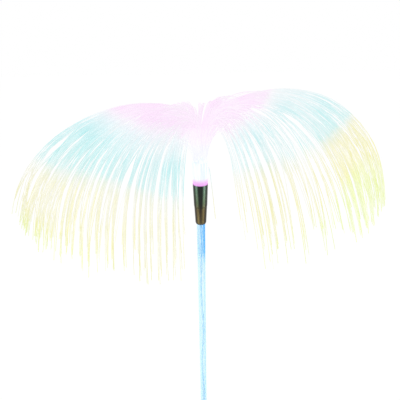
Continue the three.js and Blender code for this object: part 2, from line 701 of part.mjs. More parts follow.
// A quarter of the fountain: its slice of the bundle, and the strands that spring from it.
function fibreQuarter({ sideX, sideY }, quarter) {
  const reach = NECK_RADIUS * 2;
  const slice = common(
    bundleCore(),
    block([GAP / 2, reach], [GAP / 2, reach], [BUNDLE_FOOT_Z - OVERRUN, NECK_Z + OVERRUN]).rotateZ(
      (quarter * Math.PI) / 2,
    ),
  );
  const edge = NECK_RADIUS - STRAND_RADIUS * 2;
  const strands = STRANDS_IN_ROWS.flatMap((count, row) =>
    Array.from({ length: count }, (_, i) => {
      const deepShare = (i + 0.5) / count;
      const farShare = (row + deepShare) / STRANDS_IN_ROWS.length;
      const out = Math.max(STRAND_INSET, edge * (1 - farShare));
      const deep = mixOf(STRAND_INSET, Math.sqrt(edge ** 2 - out ** 2), deepShare);
      const unevenShare = Math.abs(Math.sin((i + 1) * (row + 2) * (quarter + 3)));
      return strand(
        { sideX, sideY, out, deep, farShare, deepShare },
        mixOf(1, SHORTEST_STRAND_SHARE, unevenShare),
      );
    }),
  );
  return joined(slice, mergeGeometries(strands));
}

// Two-part clamp on the tube: the front half carries the arm and lets the wires out.
function clampHalf(side) {
  const ear = CLAMP_RADIUS - ROOT + CLAMP_EAR_WIDTH;
  const back = (side * CLAMP_SPLIT) / 2;
  const [low, high] = [CLAMP_FOOT_Z, CLAMP_TOP_Z];
  const sorted = (a, b) => [Math.min(a, b), Math.max(a, b)];
  const halfSpace = sorted(back, side * (CLAMP_RADIUS + OVERRUN));
  const ring = common(
    turned([
      [CLAMP_BORE, low],
      [CLAMP_RADIUS, low],
      [CLAMP_RADIUS, high],
      [CLAMP_BORE, high],
      [CLAMP_BORE, low],
    ]),
    block([-CLAMP_RADIUS * 2, CLAMP_RADIUS * 2], halfSpace, [low - OVERRUN, high + OVERRUN]),
  );
  const ears = [-1, 1].map((hand) =>
    block(
      sorted(hand * (CLAMP_RADIUS - CLAMP_WALL / 2), hand * ear),
      sorted(back, back + side * CLAMP_EAR_THICKNESS),
      [low, high],
    ),
  );
  return joined(ring, ...ears);
}

const clampScrewX = CLAMP_RADIUS - ROOT + CLAMP_EAR_WIDTH / 2;
const clampScrewZ = (CLAMP_TOP_Z + CLAMP_FOOT_Z) / 2;

// The holes of the two clamp screws, between two places along Y.
const clampScrewHoles = (front, back) =>
  [-1, 1].map((hand) =>
    facingBack(rod(CLAMP_SCREW_RADIUS + GAP, front, back, SMALL_SIDES)).translate(
      hand * clampScrewX,
      0,
      clampScrewZ,
    ),
  );

function armBracket() {
  const [rootY, pivotY] = [-CLAMP_BORE - CLAMP_WALL / 2, -ARM_REACH];
  const arm = new THREE.Shape();
  arm.moveTo(rootY, ARM_LEVEL - ARM_ROOT_BOTTOM);
  arm.lineTo(rootY, ARM_LEVEL + ARM_ROOT_TOP);
  arm.lineTo(pivotY, ARM_LEVEL + LUG_RADIUS);
  arm.absarc(pivotY, ARM_LEVEL, LUG_RADIUS, Math.PI / 2, Math.PI * 1.5);
  arm.lineTo(rootY, ARM_LEVEL - ARM_ROOT_BOTTOM);
  const web = sidePlate(arm, -ARM_THICKNESS / 2, ARM_THICKNESS / 2, SMALL_SIDES / 2);
  const wireHole = facingBack(rod(GROMMET_RADIUS + GAP, -CLAMP_RADIUS - OVERRUN, 0, SMALL_SIDES));
  const boltHole = facingRight(
    rod(BOLT_RADIUS + GAP, -ARM_THICKNESS, ARM_THICKNESS, SMALL_SIDES),
  ).translate(0, pivotY, ARM_LEVEL);
  return cut(
    joined(clampHalf(-1), web),
    wireHole.translate(0, 0, WIRE_EXIT_Z),
    boltHole,
    ...clampScrewHoles(-CLAMP_EAR_THICKNESS * 2, 0),
  );
}

const clampCap = () => cut(clampHalf(1), ...clampScrewHoles(0, CLAMP_EAR_THICKNESS * 2));

// A pan-head screw along Z with its head up: the shank's tip is at 0.
function screw(radius, length, headRadius, headHeight, tip) {
  const crown = length + headHeight;
  return turned(
    [
      [0, 0],
      [radius - tip / 2, 0],
      [radius, tip],
      [radius, length],
      [headRadius, length],
      [headRadius, crown - headHeight / 3],
      [headRadius - headHeight / 3, crown],
      [0, crown],
    ],
    SMALL_SIDES,
  );
}

// The clamp screws go in from the back, and stop short of the front ears' faces.
function clampScrew(hand) {
  const headSeat = CLAMP_SPLIT / 2 + CLAMP_EAR_THICKNESS + GAP;
  const tip = -CLAMP_SPLIT / 2 - CLAMP_EAR_THICKNESS + CLAMP_SCREW_TIP;
  return facingBack(
    screw(
      CLAMP_SCREW_RADIUS,
      headSeat - tip,
      CLAMP_SCREW_HEAD_RADIUS,
      CLAMP_SCREW_HEAD_HEIGHT,
      CLAMP_SCREW_TIP,
    ),
  ).translate(hand * clampScrewX, tip, clampScrewZ);
}

// A rubber grommet along Z: its lip is above zero and its sleeve goes down through a wall.
function grommet(wall) {
  return turned(
    [
      [GROMMET_BORE, -wall],
      [GROMMET_RADIUS, -wall],
      [GROMMET_RADIUS, 0],
      [GROMMET_RADIUS + GROMMET_LIP_WIDTH, 0],
      [GROMMET_RADIUS + GROMMET_LIP_WIDTH / 2, GROMMET_LIP_THICKNESS],
      [GROMMET_BORE, GROMMET_LIP_THICKNESS],
      [GROMMET_BORE, -wall],
    ],
    SMALL_SIDES,
  );
}

// In the clamp's front, with the lip clear of its round face.
function stemGrommet() {
  const lip = GROMMET_RADIUS + GROMMET_LIP_WIDTH;
  const face = CLAMP_RADIUS + GAP;
  const inside = Math.sqrt(Math.max(0, CLAMP_RADIUS ** 2 - lip ** 2));
  return grommet(inside - TUBE_RADIUS)
    .rotateX(Math.PI / 2)
    .translate(0, -face, WIRE_EXIT_Z);
}

// Two insulated wires from the LED board, twisted loosely down the tube and out at the clamp.
function ledWire(hand) {
  const top = SHELF_Z;
  const bendTop = WIRE_EXIT_Z + WIRE_TURN;
  const length = top - bendTop;
  const twists = Math.round(length / WIRE_TWIST_PITCH);
  const steps = twists * WIRE_STEPS_PER_TWIST;
  const offset = (hand * WIRE_SPACING) / 2;
  const points = [];
  for (let i = 0; i <= steps; i++) {
    const share = i / steps;
    const turn = 2 * Math.PI * twists * share;
    const ends = Math.sin(Math.PI * share);
    const wander = WIRE_WANDER * ends * Math.sin((2 * Math.PI * length * share) / WIRE_WANDER_LENGTH);
    points.push(
      new THREE.Vector3(
        offset * Math.cos(turn) + wander,
        offset * Math.sin(turn),
        top - length * share,
      ),
    );
  }
  const mouth = -CLAMP_RADIUS - GROMMET_LIP_THICKNESS;
  points.push(new THREE.Vector3(offset, -WIRE_TURN / 3, WIRE_EXIT_Z + WIRE_TURN / 5));
  points.push(new THREE.Vector3(offset, (mouth - WIRE_TURN) / 2, WIRE_EXIT_Z));
  points.push(new THREE.Vector3(offset, mouth, WIRE_EXIT_Z));
  return tubeAlong(points, WIRE_RADIUS, WIRE_SIDES, steps + WIRE_STEPS_PER_TWIST);
}

// The solar box is modelled upright, with its tilt axis on X through the origin and its face to -Y.

const bossXs = [-1, 1].map((hand) => hand * (PANEL_WIDTH / 2 - CASE_BOSS_INSET));
const bossZs = [-1, 1].map((hand) => hand * (PANEL_HEIGHT / 2 - CASE_BOSS_INSET));
const bossPlaces = bossXs.flatMap((x) => bossZs.map((z) => [x, z]));

const BATTERY_REACH = BATTERY_LENGTH + BATTERY_BUTTON_LENGTH;
const BAY_LENGTH = BATTERY_REACH + SPRING_LENGTH + (CONTACT_THICKNESS + GAP) * 2 + GAP * 3;
const BAY_WIDTH = BATTERY_RADIUS * 2 + GAP * 4;
const BAY_DEPTH = BATTERY_RADIUS * 2 + GAP * 3;
const COVER_SEAT_Y = SHELL_BACK_Y - COVER_THICKNESS - GAP;
const BAY_FLOOR_Y = COVER_SEAT_Y - BAY_DEPTH;
const COVER_LOW_X = -BAY_LENGTH / 2 - COVER_OVERLAP;
const BOARD_BACK_Y = SHELL_FLOOR_Y - BOARD_STANDOFF;
const postPlaces = [-1, 1].flatMap((hand) =>
  [-1, 1].map((level) => [
    hand * (BOARD_LENGTH / 2 - BOARD_POST_INSET),
    BOARD_LEVEL + level * (BOARD_WIDTH / 2 - BOARD_POST_INSET),
  ]),
);
const buttonPlace = [BUTTON_OUT, BOARD_LEVEL];
const grommetPlace = [-BUTTON_OUT, BOARD_LEVEL];

// The cover's dovetail section, grown by a clearance, along X between two places.
function dovetail(low, high, grow, seat, back) {
  const inner = COVER_WIDTH / 2 + grow;
  const outer = inner - COVER_DOVETAIL;
  return sidePlate(
    shapeOf([
      [seat, BAY_LEVEL - inner],
      [back, BAY_LEVEL - outer],
      [back, BAY_LEVEL + outer],
      [seat, BAY_LEVEL + inner],
    ]),
    low,
    high,
  );
}

// One ear of the tilt hinge, from the shell's back to round the bolt.
function tiltEar(hand) {
  const ear = new THREE.Shape();
  const root = SHELL_BACK_Y - SHELL_WALL / 2;
  ear.moveTo(root, -EAR_ROOT_HALF_HEIGHT);
  ear.lineTo(0, -LUG_RADIUS);
  ear.absarc(0, 0, LUG_RADIUS, -Math.PI / 2, Math.PI / 2);
  ear.lineTo(root, EAR_ROOT_HALF_HEIGHT);
  ear.closePath();
  const [a, b] = [hand * EAR_INSIDE, hand * EAR_OUTSIDE];
  return sidePlate(ear, Math.min(a, b), Math.max(a, b), SMALL_SIDES / 2);
}

function panelShell() {
  const outside = slab(PANEL_WIDTH, PANEL_HEIGHT, PANEL_CORNER, SHELL_RIM_Y, SHELL_BACK_Y);
  const inside = slab(
    PANEL_WIDTH - SHELL_WALL * 2,
    PANEL_HEIGHT - SHELL_WALL * 2,
    PANEL_CORNER - SHELL_WALL,
    SHELL_RIM_Y - OVERRUN,
    SHELL_FLOOR_Y,
  );
  const bosses = bossPlaces.map(([x, z]) =>
    facingBack(
      rod(CASE_BOSS_RADIUS, SHELL_RIM_Y, SHELL_FLOOR_Y + ROOT, SMALL_SIDES),
    ).translate(x, 0, z),
  );
  const bayBlock = block(
    [COVER_LOW_X - BAY_WALL, PANEL_WIDTH / 2 - SHELL_WALL / 2],
    [BAY_FLOOR_Y - BAY_FLOOR, SHELL_FLOOR_Y + ROOT],
    [BAY_LEVEL - COVER_WIDTH / 2 - BAY_WALL, BAY_LEVEL + COVER_WIDTH / 2 + BAY_WALL],
  );
  const posts = postPlaces.map(([x, z]) =>
    facingBack(
      rod(BOARD_POST_RADIUS, BOARD_BACK_Y + GAP, SHELL_FLOOR_Y + ROOT, SMALL_SIDES),
    ).translate(x, 0, z),
  );
  const solidShell = joined(
    cut(outside, inside),
    ...bosses,
    bayBlock,
    ...posts,
    tiltEar(-1),
    tiltEar(1),
  );
  const screwWays = bossPlaces.flatMap(([x, z]) => [
    facingBack(
      rod(CASE_SCREW_RADIUS + GAP, SHELL_RIM_Y - OVERRUN, SHELL_BACK_Y + OVERRUN, SMALL_SIDES),
    ).translate(x, 0, z),
    facingBack(
      rod(
        CASE_SCREW_HEAD_RADIUS + GAP,
        SHELL_BACK_Y - CASE_SCREW_HEAD_HEIGHT - GAP * 2,
        SHELL_BACK_Y + OVERRUN,
        SMALL_SIDES,
      ),
    ).translate(x, 0, z),
  ]);
  const coverSeat = dovetail(
    COVER_LOW_X - GAP,
    PANEL_WIDTH / 2 + OVERRUN,
    GAP,
    COVER_SEAT_Y,
    SHELL_BACK_Y + ROOT,
  );
  const bay = block(
    [-BAY_LENGTH / 2, BAY_LENGTH / 2],
    [BAY_FLOOR_Y, SHELL_BACK_Y + OVERRUN],
    [BAY_LEVEL - BAY_WIDTH / 2, BAY_LEVEL + BAY_WIDTH / 2],
  );
  const buttonHole = facingBack(
    rod(BUTTON_RADIUS + GAP, SHELL_FLOOR_Y - OVERRUN, SHELL_BACK_Y + OVERRUN),
  ).translate(buttonPlace[0], 0, buttonPlace[1]);
  const leadHole = facingBack(
    rod(GROMMET_RADIUS + GAP, SHELL_FLOOR_Y - OVERRUN, SHELL_BACK_Y + OVERRUN, SMALL_SIDES),
  ).translate(grommetPlace[0], 0, grommetPlace[1]);
  const boltHole = facingRight(
    rod(BOLT_RADIUS + GAP, -EAR_OUTSIDE - OVERRUN, EAR_OUTSIDE + OVERRUN, SMALL_SIDES),
  );
  return cut(solidShell, ...screwWays, coverSeat, bay, buttonHole, leadHole, boltHole);
}

function panelBezel() {
  const seam = GASKET_WIDTH + GAP * 2;
  const grooveOut = (SHELL_WALL - seam) / 2;
  const frame = slab(
    PANEL_WIDTH,
    PANEL_HEIGHT,
    PANEL_CORNER,
    BEZEL_FRONT_Y + BEZEL_CHAMFER,
    BEZEL_BACK_Y,
  );
  const face = slab(
    PANEL_WIDTH - BEZEL_CHAMFER * 2,
    PANEL_HEIGHT - BEZEL_CHAMFER * 2,
    PANEL_CORNER - BEZEL_CHAMFER,
    BEZEL_FRONT_Y,
    BEZEL_BACK_Y - OVERRUN,
  );
  const pocket = slab(
    WINDOW_WIDTH + GAP * 2,
    WINDOW_HEIGHT + GAP * 2,
    WINDOW_CORNER + GAP,
    BEZEL_FRONT_Y + BEZEL_LIP,
    BEZEL_BACK_Y + OVERRUN,
  );
  const opening = slab(
    WINDOW_WIDTH - WINDOW_LEDGE * 2,
    WINDOW_HEIGHT - WINDOW_LEDGE * 2,
    WINDOW_CORNER,
    BEZEL_FRONT_Y - OVERRUN,
    BEZEL_BACK_Y + OVERRUN,
  );
  const groove = cut(
    slab(
      PANEL_WIDTH - grooveOut * 2,
      PANEL_HEIGHT - grooveOut * 2,
      PANEL_CORNER - grooveOut,
      BEZEL_BACK_Y - GASKET_THICKNESS,
      BEZEL_BACK_Y + OVERRUN,
    ),
    slab(
      PANEL_WIDTH - (grooveOut + seam) * 2,
      PANEL_HEIGHT - (grooveOut + seam) * 2,
      PANEL_CORNER - grooveOut - seam,
      BEZEL_BACK_Y - GASKET_THICKNESS - OVERRUN,
      BEZEL_BACK_Y + OVERRUN * 2,
    ),
  );
  const bites = bossPlaces.map(([x, z]) =>
    facingBack(
      rod(
        CASE_SCREW_RADIUS + GAP,
        BEZEL_BACK_Y - CASE_SCREW_BITE - GAP,
        BEZEL_BACK_Y + OVERRUN,
        SMALL_SIDES,
      ),
    ).translate(x, 0, z),
  );
  return cut(joined(frame, face), pocket, opening, groove, ...bites);
}

function panelGasket() {
  const inset = (SHELL_WALL - GASKET_WIDTH) / 2;
  const front = BEZEL_BACK_Y - GASKET_THICKNESS + GAP;
  return cut(
    slab(
      PANEL_WIDTH - inset * 2,
      PANEL_HEIGHT - inset * 2,
      PANEL_CORNER - inset,
      front,
      BEZEL_BACK_Y,
    ),
    slab(
      PANEL_WIDTH - (inset + GASKET_WIDTH) * 2,
      PANEL_HEIGHT - (inset + GASKET_WIDTH) * 2,
      PANEL_CORNER - inset - GASKET_WIDTH,
      front - OVERRUN,
      BEZEL_BACK_Y + OVERRUN,
    ),
  );
}

const WINDOW_FRONT_Y = BEZEL_FRONT_Y + BEZEL_LIP + GAP;
const WINDOW_BACK_Y = WINDOW_FRONT_Y + WINDOW_THICKNESS;

const panelWindow = () =>
  slab(WINDOW_WIDTH, WINDOW_HEIGHT, WINDOW_CORNER, WINDOW_FRONT_Y, WINDOW_BACK_Y);

// The cell's silicon strips stand on a common backing, just behind the window.
function solarCell() {
  const [halfWidth, halfHeight] = [WINDOW_WIDTH / 2 - CELL_MARGIN, WINDOW_HEIGHT / 2 - CELL_MARGIN];
  const front = WINDOW_BACK_Y + GAP;
  const middle = front + CELL_STRIP_THICKNESS;
  const strip = (halfWidth * 2 - CELL_STRIP_GAP * (CELL_STRIPS + 1)) / CELL_STRIPS;
  const backing = block(
    [-halfWidth, halfWidth],
    [middle, middle + CELL_BASE_THICKNESS],
    [-halfHeight, halfHeight],
  );
  const strips = Array.from({ length: CELL_STRIPS }, (_, i) => {
    const low = CELL_STRIP_GAP - halfWidth + i * (strip + CELL_STRIP_GAP);
    return block(
      [low, low + strip],
      [front, middle + CELL_BASE_THICKNESS / 2],
      [CELL_STRIP_GAP - halfHeight, halfHeight - CELL_STRIP_GAP],
    );
  });
  return joined(backing, ...strips);
}

function caseScrew(x, z) {
  const headSeat = SHELL_BACK_Y - CASE_SCREW_HEAD_HEIGHT - GAP;
  const tip = BEZEL_BACK_Y - CASE_SCREW_BITE;
  return facingBack(
    screw(
      CASE_SCREW_RADIUS,
      headSeat - tip,
      CASE_SCREW_HEAD_RADIUS,
      CASE_SCREW_HEAD_HEIGHT,
      CASE_SCREW_TIP,
    ),
  ).translate(x, tip, z);
}

// Battery bay: from -X the spring contact, the cell, and the plate contact.
const BATTERY_Y = BAY_FLOOR_Y + GAP + BATTERY_RADIUS;
const SPRING_PLATE_X = -BAY_LENGTH / 2 + GAP;
const BATTERY_LOW_X = SPRING_PLATE_X + CONTACT_THICKNESS + SPRING_LENGTH + GAP;
const PLATE_CONTACT_X = BAY_LENGTH / 2 - GAP - CONTACT_THICKNESS;

function battery() {
  const edge = BATTERY_RADIUS - BATTERY_BUTTON_RADIUS;
  const shoulder = BATTERY_LENGTH - edge / 4;
  return facingRight(
    turned(
      [
        [0, 0],
        [BATTERY_RADIUS - edge / 8, 0],
        [BATTERY_RADIUS, edge / 8],
        [BATTERY_RADIUS, shoulder],
        [BATTERY_RADIUS - edge / 4, BATTERY_LENGTH],
        [BATTERY_BUTTON_RADIUS, BATTERY_LENGTH],
        [BATTERY_BUTTON_RADIUS, BATTERY_LENGTH + BATTERY_BUTTON_LENGTH],
        [0, BATTERY_LENGTH + BATTERY_BUTTON_LENGTH],
      ],
      ROUND_SIDES / 2,
    ),
  ).translate(BATTERY_LOW_X, BATTERY_Y, BAY_LEVEL);
}

const contactPlate = (low) =>
  block(
    [low, low + CONTACT_THICKNESS],
    [BATTERY_Y - CONTACT_SIZE / 2, BATTERY_Y + CONTACT_SIZE / 2],
    [BAY_LEVEL - CONTACT_SIZE / 2, BAY_LEVEL + CONTACT_SIZE / 2],
  );

function springContact() {
  const steps = SPRING_TURNS * SPRING_STEPS_PER_TURN;
  const start = SPRING_PLATE_X + CONTACT_THICKNESS / 2;
  const run = SPRING_LENGTH + CONTACT_THICKNESS / 2 - SPRING_WIRE_RADIUS;
  const points = Array.from({ length: steps + 1 }, (_, i) => {
    const share = i / steps;
    const turn = 2 * Math.PI * SPRING_TURNS * share;
    const radius = SPRING_RADIUS * (1 - share / 3);
    return new THREE.Vector3(
      start + run * share,
      BATTERY_Y + radius * Math.cos(turn),
      BAY_LEVEL + radius * Math.sin(turn),
    );
  });
  return joined(
    contactPlate(SPRING_PLATE_X),
    tubeAlong(points, SPRING_WIRE_RADIUS, SPRING_WIRE_SIDES, steps),
  );
}

function batteryCover() {
  const plate = dovetail(
    COVER_LOW_X,
    PANEL_WIDTH / 2,
    0,
    SHELL_BACK_Y - COVER_THICKNESS,
    SHELL_BACK_Y,
  );
  const ribs = Array.from({ length: GRIP_RIBS }, (_, i) => {
    const x = PANEL_WIDTH / 2 - GRIP_RIB_PITCH * (i + 1);
    return block(
      [x - GRIP_RIB_WIDTH / 2, x + GRIP_RIB_WIDTH / 2],
      [SHELL_BACK_Y - COVER_THICKNESS / 2, SHELL_BACK_Y + GRIP_RIB_HEIGHT],
      [BAY_LEVEL - COVER_WIDTH / 4, BAY_LEVEL + COVER_WIDTH / 4],
    );
  });
  return joined(plate, ...ribs);
}

const circuitBoard = () =>
  block(
    [-BOARD_LENGTH / 2, BOARD_LENGTH / 2],
    [BOARD_BACK_Y - BOARD_THICKNESS, BOARD_BACK_Y],
    [BOARD_LEVEL - BOARD_WIDTH / 2, BOARD_LEVEL + BOARD_WIDTH / 2],
  );

const BOARD_FRONT_Y = BOARD_BACK_Y - BOARD_THICKNESS;

const driverChip = () =>
  block(
    [-CHIP_LENGTH / 2, CHIP_LENGTH / 2],
    [BOARD_FRONT_Y - GAP - CHIP_HEIGHT, BOARD_FRONT_Y - GAP],
    [BOARD_LEVEL - CHIP_WIDTH / 2, BOARD_LEVEL + CHIP_WIDTH / 2],
  );

const boostCoil = () =>
  facingBack(
    rod(COIL_RADIUS, BOARD_FRONT_Y - GAP - COIL_HEIGHT, BOARD_FRONT_Y - GAP, SMALL_SIDES),
  ).translate(-BOARD_LENGTH / 4, 0, BOARD_LEVEL);

const switchBody = () =>
  block(
    [buttonPlace[0] - SWITCH_SIZE / 2, buttonPlace[0] + SWITCH_SIZE / 2],
    [BOARD_BACK_Y + GAP, BOARD_BACK_Y + GAP + SWITCH_HEIGHT],
    [buttonPlace[1] - SWITCH_SIZE / 2, buttonPlace[1] + SWITCH_SIZE / 2],
  );

// The button's flange stays inside the wall, and its domed cap stands out of the box's back.
function powerButton() {
  const flangeTop = SHELL_FLOOR_Y - GAP;
  const crown = SHELL_BACK_Y + BUTTON_STANDS_OUT;
  const nib = BOARD_BACK_Y + GAP + SWITCH_HEIGHT + GAP + BUTTON_TRAVEL;
  return facingBack(
    turned(
      [
        [0, nib],
        [BUTTON_NIB_RADIUS, nib],
        [BUTTON_NIB_RADIUS, flangeTop - BUTTON_FLANGE_THICKNESS],
        [BUTTON_RADIUS + BUTTON_FLANGE_WIDTH, flangeTop - BUTTON_FLANGE_THICKNESS],
        [BUTTON_RADIUS + BUTTON_FLANGE_WIDTH, flangeTop],
        [BUTTON_RADIUS, flangeTop],
        [BUTTON_RADIUS, crown - BUTTON_DOME],
        [BUTTON_RADIUS - BUTTON_DOME, crown - BUTTON_DOME / 4],
        [0, crown],
      ],
      ROUND_SIDES / 2,
    ),
  ).translate(buttonPlace[0], 0, buttonPlace[1]);
}

const panelGrommet = () =>
  facingBack(grommet(SHELL_WALL + GAP)).translate(grommetPlace[0], SHELL_BACK_Y + GAP, grommetPlace[1]);

// Bolt with its hexagon head to -X, and the star knob on its other end.
function tiltBolt() {
  const seat = -EAR_OUTSIDE - GAP;
  const end = EAR_OUTSIDE + GAP + KNOB_THICKNESS - KNOB_CAP - GAP;
  return joined(
    facingRight(rod(BOLT_RADIUS, seat - BOLT_HEAD_HEIGHT / 2, end, SMALL_SIDES)),
    facingRight(rod(BOLT_HEAD_RADIUS, seat - BOLT_HEAD_HEIGHT, seat, HEXAGON)),
  );
}

function tiltKnob() {
  const [low, high] = [EAR_OUTSIDE + GAP, EAR_OUTSIDE + GAP + KNOB_THICKNESS];
  const edge = KNOB_CAP / 2;
  const disc = turned([
    [0, low],
    [KNOB_RADIUS - edge, low],
    [KNOB_RADIUS, low + edge],
    [KNOB_RADIUS, high - edge],
    [KNOB_RADIUS - edge, high],
    [0, high],
  ]);
  const notches = Array.from({ length: KNOB_LOBES }, (_, i) => {
    const angle = ((i + 0.5) * 2 * Math.PI) / KNOB_LOBES;
    return rod(KNOB_NOTCH_RADIUS, low - OVERRUN, high + OVERRUN, SMALL_SIDES).translate(
      (KNOB_RADIUS + KNOB_NOTCH_RADIUS / 3) * Math.cos(angle),
      (KNOB_RADIUS + KNOB_NOTCH_RADIUS / 3) * Math.sin(angle),
      0,
    );
  });
  const bore = rod(BOLT_RADIUS + GAP, low - OVERRUN, high - KNOB_CAP, SMALL_SIDES);
  return facingRight(cut(disc, ...notches, bore));
}

// Assembly
const light = new THREE.Group();

const stake = new THREE.Group();
piece(stake, "ground_spike", groundSpike(), blackAbs);
piece(stake, "socket_bush", socketBush(), rubber);
light.add(stake);

const stem = new THREE.Group();
piece(stem, "stem_tube", stemTube(), clearTube);
piece(stem, "foot_plug", footPlug(), rubber);
piece(stem, "led_wire_1", ledWire(-1), wireSkin);
piece(stem, "led_wire_2", ledWire(1), wireSkin);
piece(stem, "lamp_holder", lampHolder(), gunmetal);
piece(stem, "fibre_cup", fibreCup(), gunmetal);
piece(stem, "led_board", ledBoard(), boardGreen);
piece(stem, "led_lamp", ledLamp(), ledLens);
FAN_QUARTERS.forEach((sides, quarter) => {
  piece(stem, "fibres_" + sides.name, fibreQuarter(sides, quarter), glowFibre);
});
piece(stem, "arm_bracket", armBracket(), blackAbs);
piece(stem, "clamp_cap", clampCap(), blackAbs);
piece(stem, "clamp_screw_1", clampScrew(-1), steel);
piece(stem, "clamp_screw_2", clampScrew(1), steel);
piece(stem, "stem_grommet", stemGrommet(), rubber);
light.add(stem);

const panel = new THREE.Group();
piece(panel, "panel_shell", panelShell(), blackAbs);
piece(panel, "panel_bezel", panelBezel(), blackAbs);
piece(panel, "panel_gasket", panelGasket(), rubber);
piece(panel, "panel_window", panelWindow(), clearWindow);
piece(panel, "solar_cell", solarCell(), siliconBlue);
piece(panel, "circuit_board", circuitBoard(), boardGreen);
piece(panel, "driver_chip", driverChip(), chipBlack);
piece(panel, "boost_coil", boostCoil(), copperCoil);
piece(panel, "switch_body", switchBody(), chipBlack);
piece(panel, "power_button", powerButton(), rubber);
piece(panel, "battery", battery(), batteryWrap);
piece(panel, "battery_spring", springContact(), steel);
piece(panel, "battery_plate", contactPlate(PLATE_CONTACT_X), steel);
piece(panel, "battery_cover", batteryCover(), blackAbs);
piece(panel, "panel_grommet", panelGrommet(), rubber);
bossPlaces.forEach(([x, z], i) => {
  piece(panel, "case_screw_" + (i + 1), caseScrew(x, z), steel);
});
piece(panel, "tilt_bolt", tiltBolt(), steel);
piece(panel, "tilt_knob", tiltKnob(), blackAbs);
panel.position.set(0, -ARM_REACH, ARM_LEVEL);
panel.rotation.x = -TILT_FROM_UPRIGHT;
light.add(panel);

export default light;
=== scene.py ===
import json
import math

import bmesh
import bpy
import numpy as np
from mathutils import Matrix, Vector

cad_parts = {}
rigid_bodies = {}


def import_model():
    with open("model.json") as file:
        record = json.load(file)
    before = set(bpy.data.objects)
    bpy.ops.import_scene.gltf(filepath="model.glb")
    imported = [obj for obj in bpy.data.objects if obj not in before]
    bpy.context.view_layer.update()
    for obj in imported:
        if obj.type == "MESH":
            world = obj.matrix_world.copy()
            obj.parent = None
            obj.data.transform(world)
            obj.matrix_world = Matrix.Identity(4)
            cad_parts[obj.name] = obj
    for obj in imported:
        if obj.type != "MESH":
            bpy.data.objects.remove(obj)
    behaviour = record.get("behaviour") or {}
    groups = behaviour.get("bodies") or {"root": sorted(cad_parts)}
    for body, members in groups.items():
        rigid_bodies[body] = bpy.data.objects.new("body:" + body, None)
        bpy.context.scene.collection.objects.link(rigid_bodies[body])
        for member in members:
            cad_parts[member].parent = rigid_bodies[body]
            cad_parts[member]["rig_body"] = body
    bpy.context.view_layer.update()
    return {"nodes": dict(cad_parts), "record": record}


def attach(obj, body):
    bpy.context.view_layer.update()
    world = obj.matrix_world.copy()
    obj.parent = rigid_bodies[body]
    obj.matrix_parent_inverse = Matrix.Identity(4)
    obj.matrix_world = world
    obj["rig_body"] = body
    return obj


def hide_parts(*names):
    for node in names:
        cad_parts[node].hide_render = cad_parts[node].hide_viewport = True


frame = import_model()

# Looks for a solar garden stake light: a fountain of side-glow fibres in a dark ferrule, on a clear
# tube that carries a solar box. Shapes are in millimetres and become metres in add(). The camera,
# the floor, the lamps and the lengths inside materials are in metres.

MM = 0.001
scene = bpy.context.scene
slot_of = {part["node"]: part["material_slot"] for part in frame["record"]["subparts"]}


# Sizes that several parts share, in millimetres, with heights above the soil. The shelf carries the
# LED's board, and the strands part at the neck, this far above the cup's rim.

GAP = 0.3
TUBE_RADIUS = 5
TUBE_FOOT = 7.1
TUBE_TOP = 527.1
WIRE_EXIT = 98
SHELF = 529.2
HOLDER_TOP = 535.9
CUP_FOOT = 536.2
RIM = 562.7
NECK = 24
# The solar box's tilt axis, before the tube, and how far the box leans back at rest, in degrees.
ARM_REACH = 42
ARM_LEVEL = 110
PANEL_TILT = 45


def linked(name, data):
    """A new object in the scene."""
    made = bpy.data.objects.new(name, data)
    scene.collection.objects.link(made)
    return made


def turning(degrees, axis="X"):
    return Matrix.Rotation(math.radians(degrees), 4, axis)


def moved(x, y, z):
    """A move in millimetres."""
    return Matrix.Translation((x * MM, y * MM, z * MM))


# Camera: the photograph's view, about 25 degrees down onto the front of the fountain.

CAMERA_PITCH = 25
CAMERA_ROLL = -0.95
CAMERA_PLACE = (-0.00065, -0.283, 0.6747)
CAMERA_LENS = 25.2


def make_camera():
    data = bpy.data.cameras.new("camera")
    data.lens = CAMERA_LENS
    data.clip_start, data.clip_end = 0.01, 200
    camera = linked("camera", data)
    turns = turning(90 - CAMERA_PITCH) @ turning(CAMERA_ROLL, "Z")
    camera.matrix_world = Matrix.Translation(CAMERA_PLACE) @ turns
    scene.camera = camera


make_camera()


# Materials

# Most of a noise's values lie between these.
NOISE_LOW, NOISE_HIGH = 0.3, 0.7
BLACK = (0, 0, 0, 1)
WHITE = (1, 1, 1, 1)


def hue(red, green, blue):
    """A colour as it is seen on a screen, 0 to 255, as the shader takes it."""
    def linear(value):
        value /= 255
        return value / 12.92 if value <= 0.04045 else ((value + 0.055) / 1.055) ** 2.4
    return (linear(red), linear(green), linear(blue), 1)


def new_node(tree, kind, inputs=(), **settings):
    """A shader node with its settings, and with values or links for its inputs by name or number."""
    made = tree.nodes.new("ShaderNode" + kind)
    for key, value in settings.items():
        setattr(made, key, value)
    for key, source in dict(inputs).items():
        join(tree, source, made.inputs[key])
    return made


def join(tree, source, target):
    """Gives a socket another socket or a plain value."""
    if isinstance(source, bpy.types.NodeSocket):
        tree.links.new(source, target)
    else:
        target.default_value = source


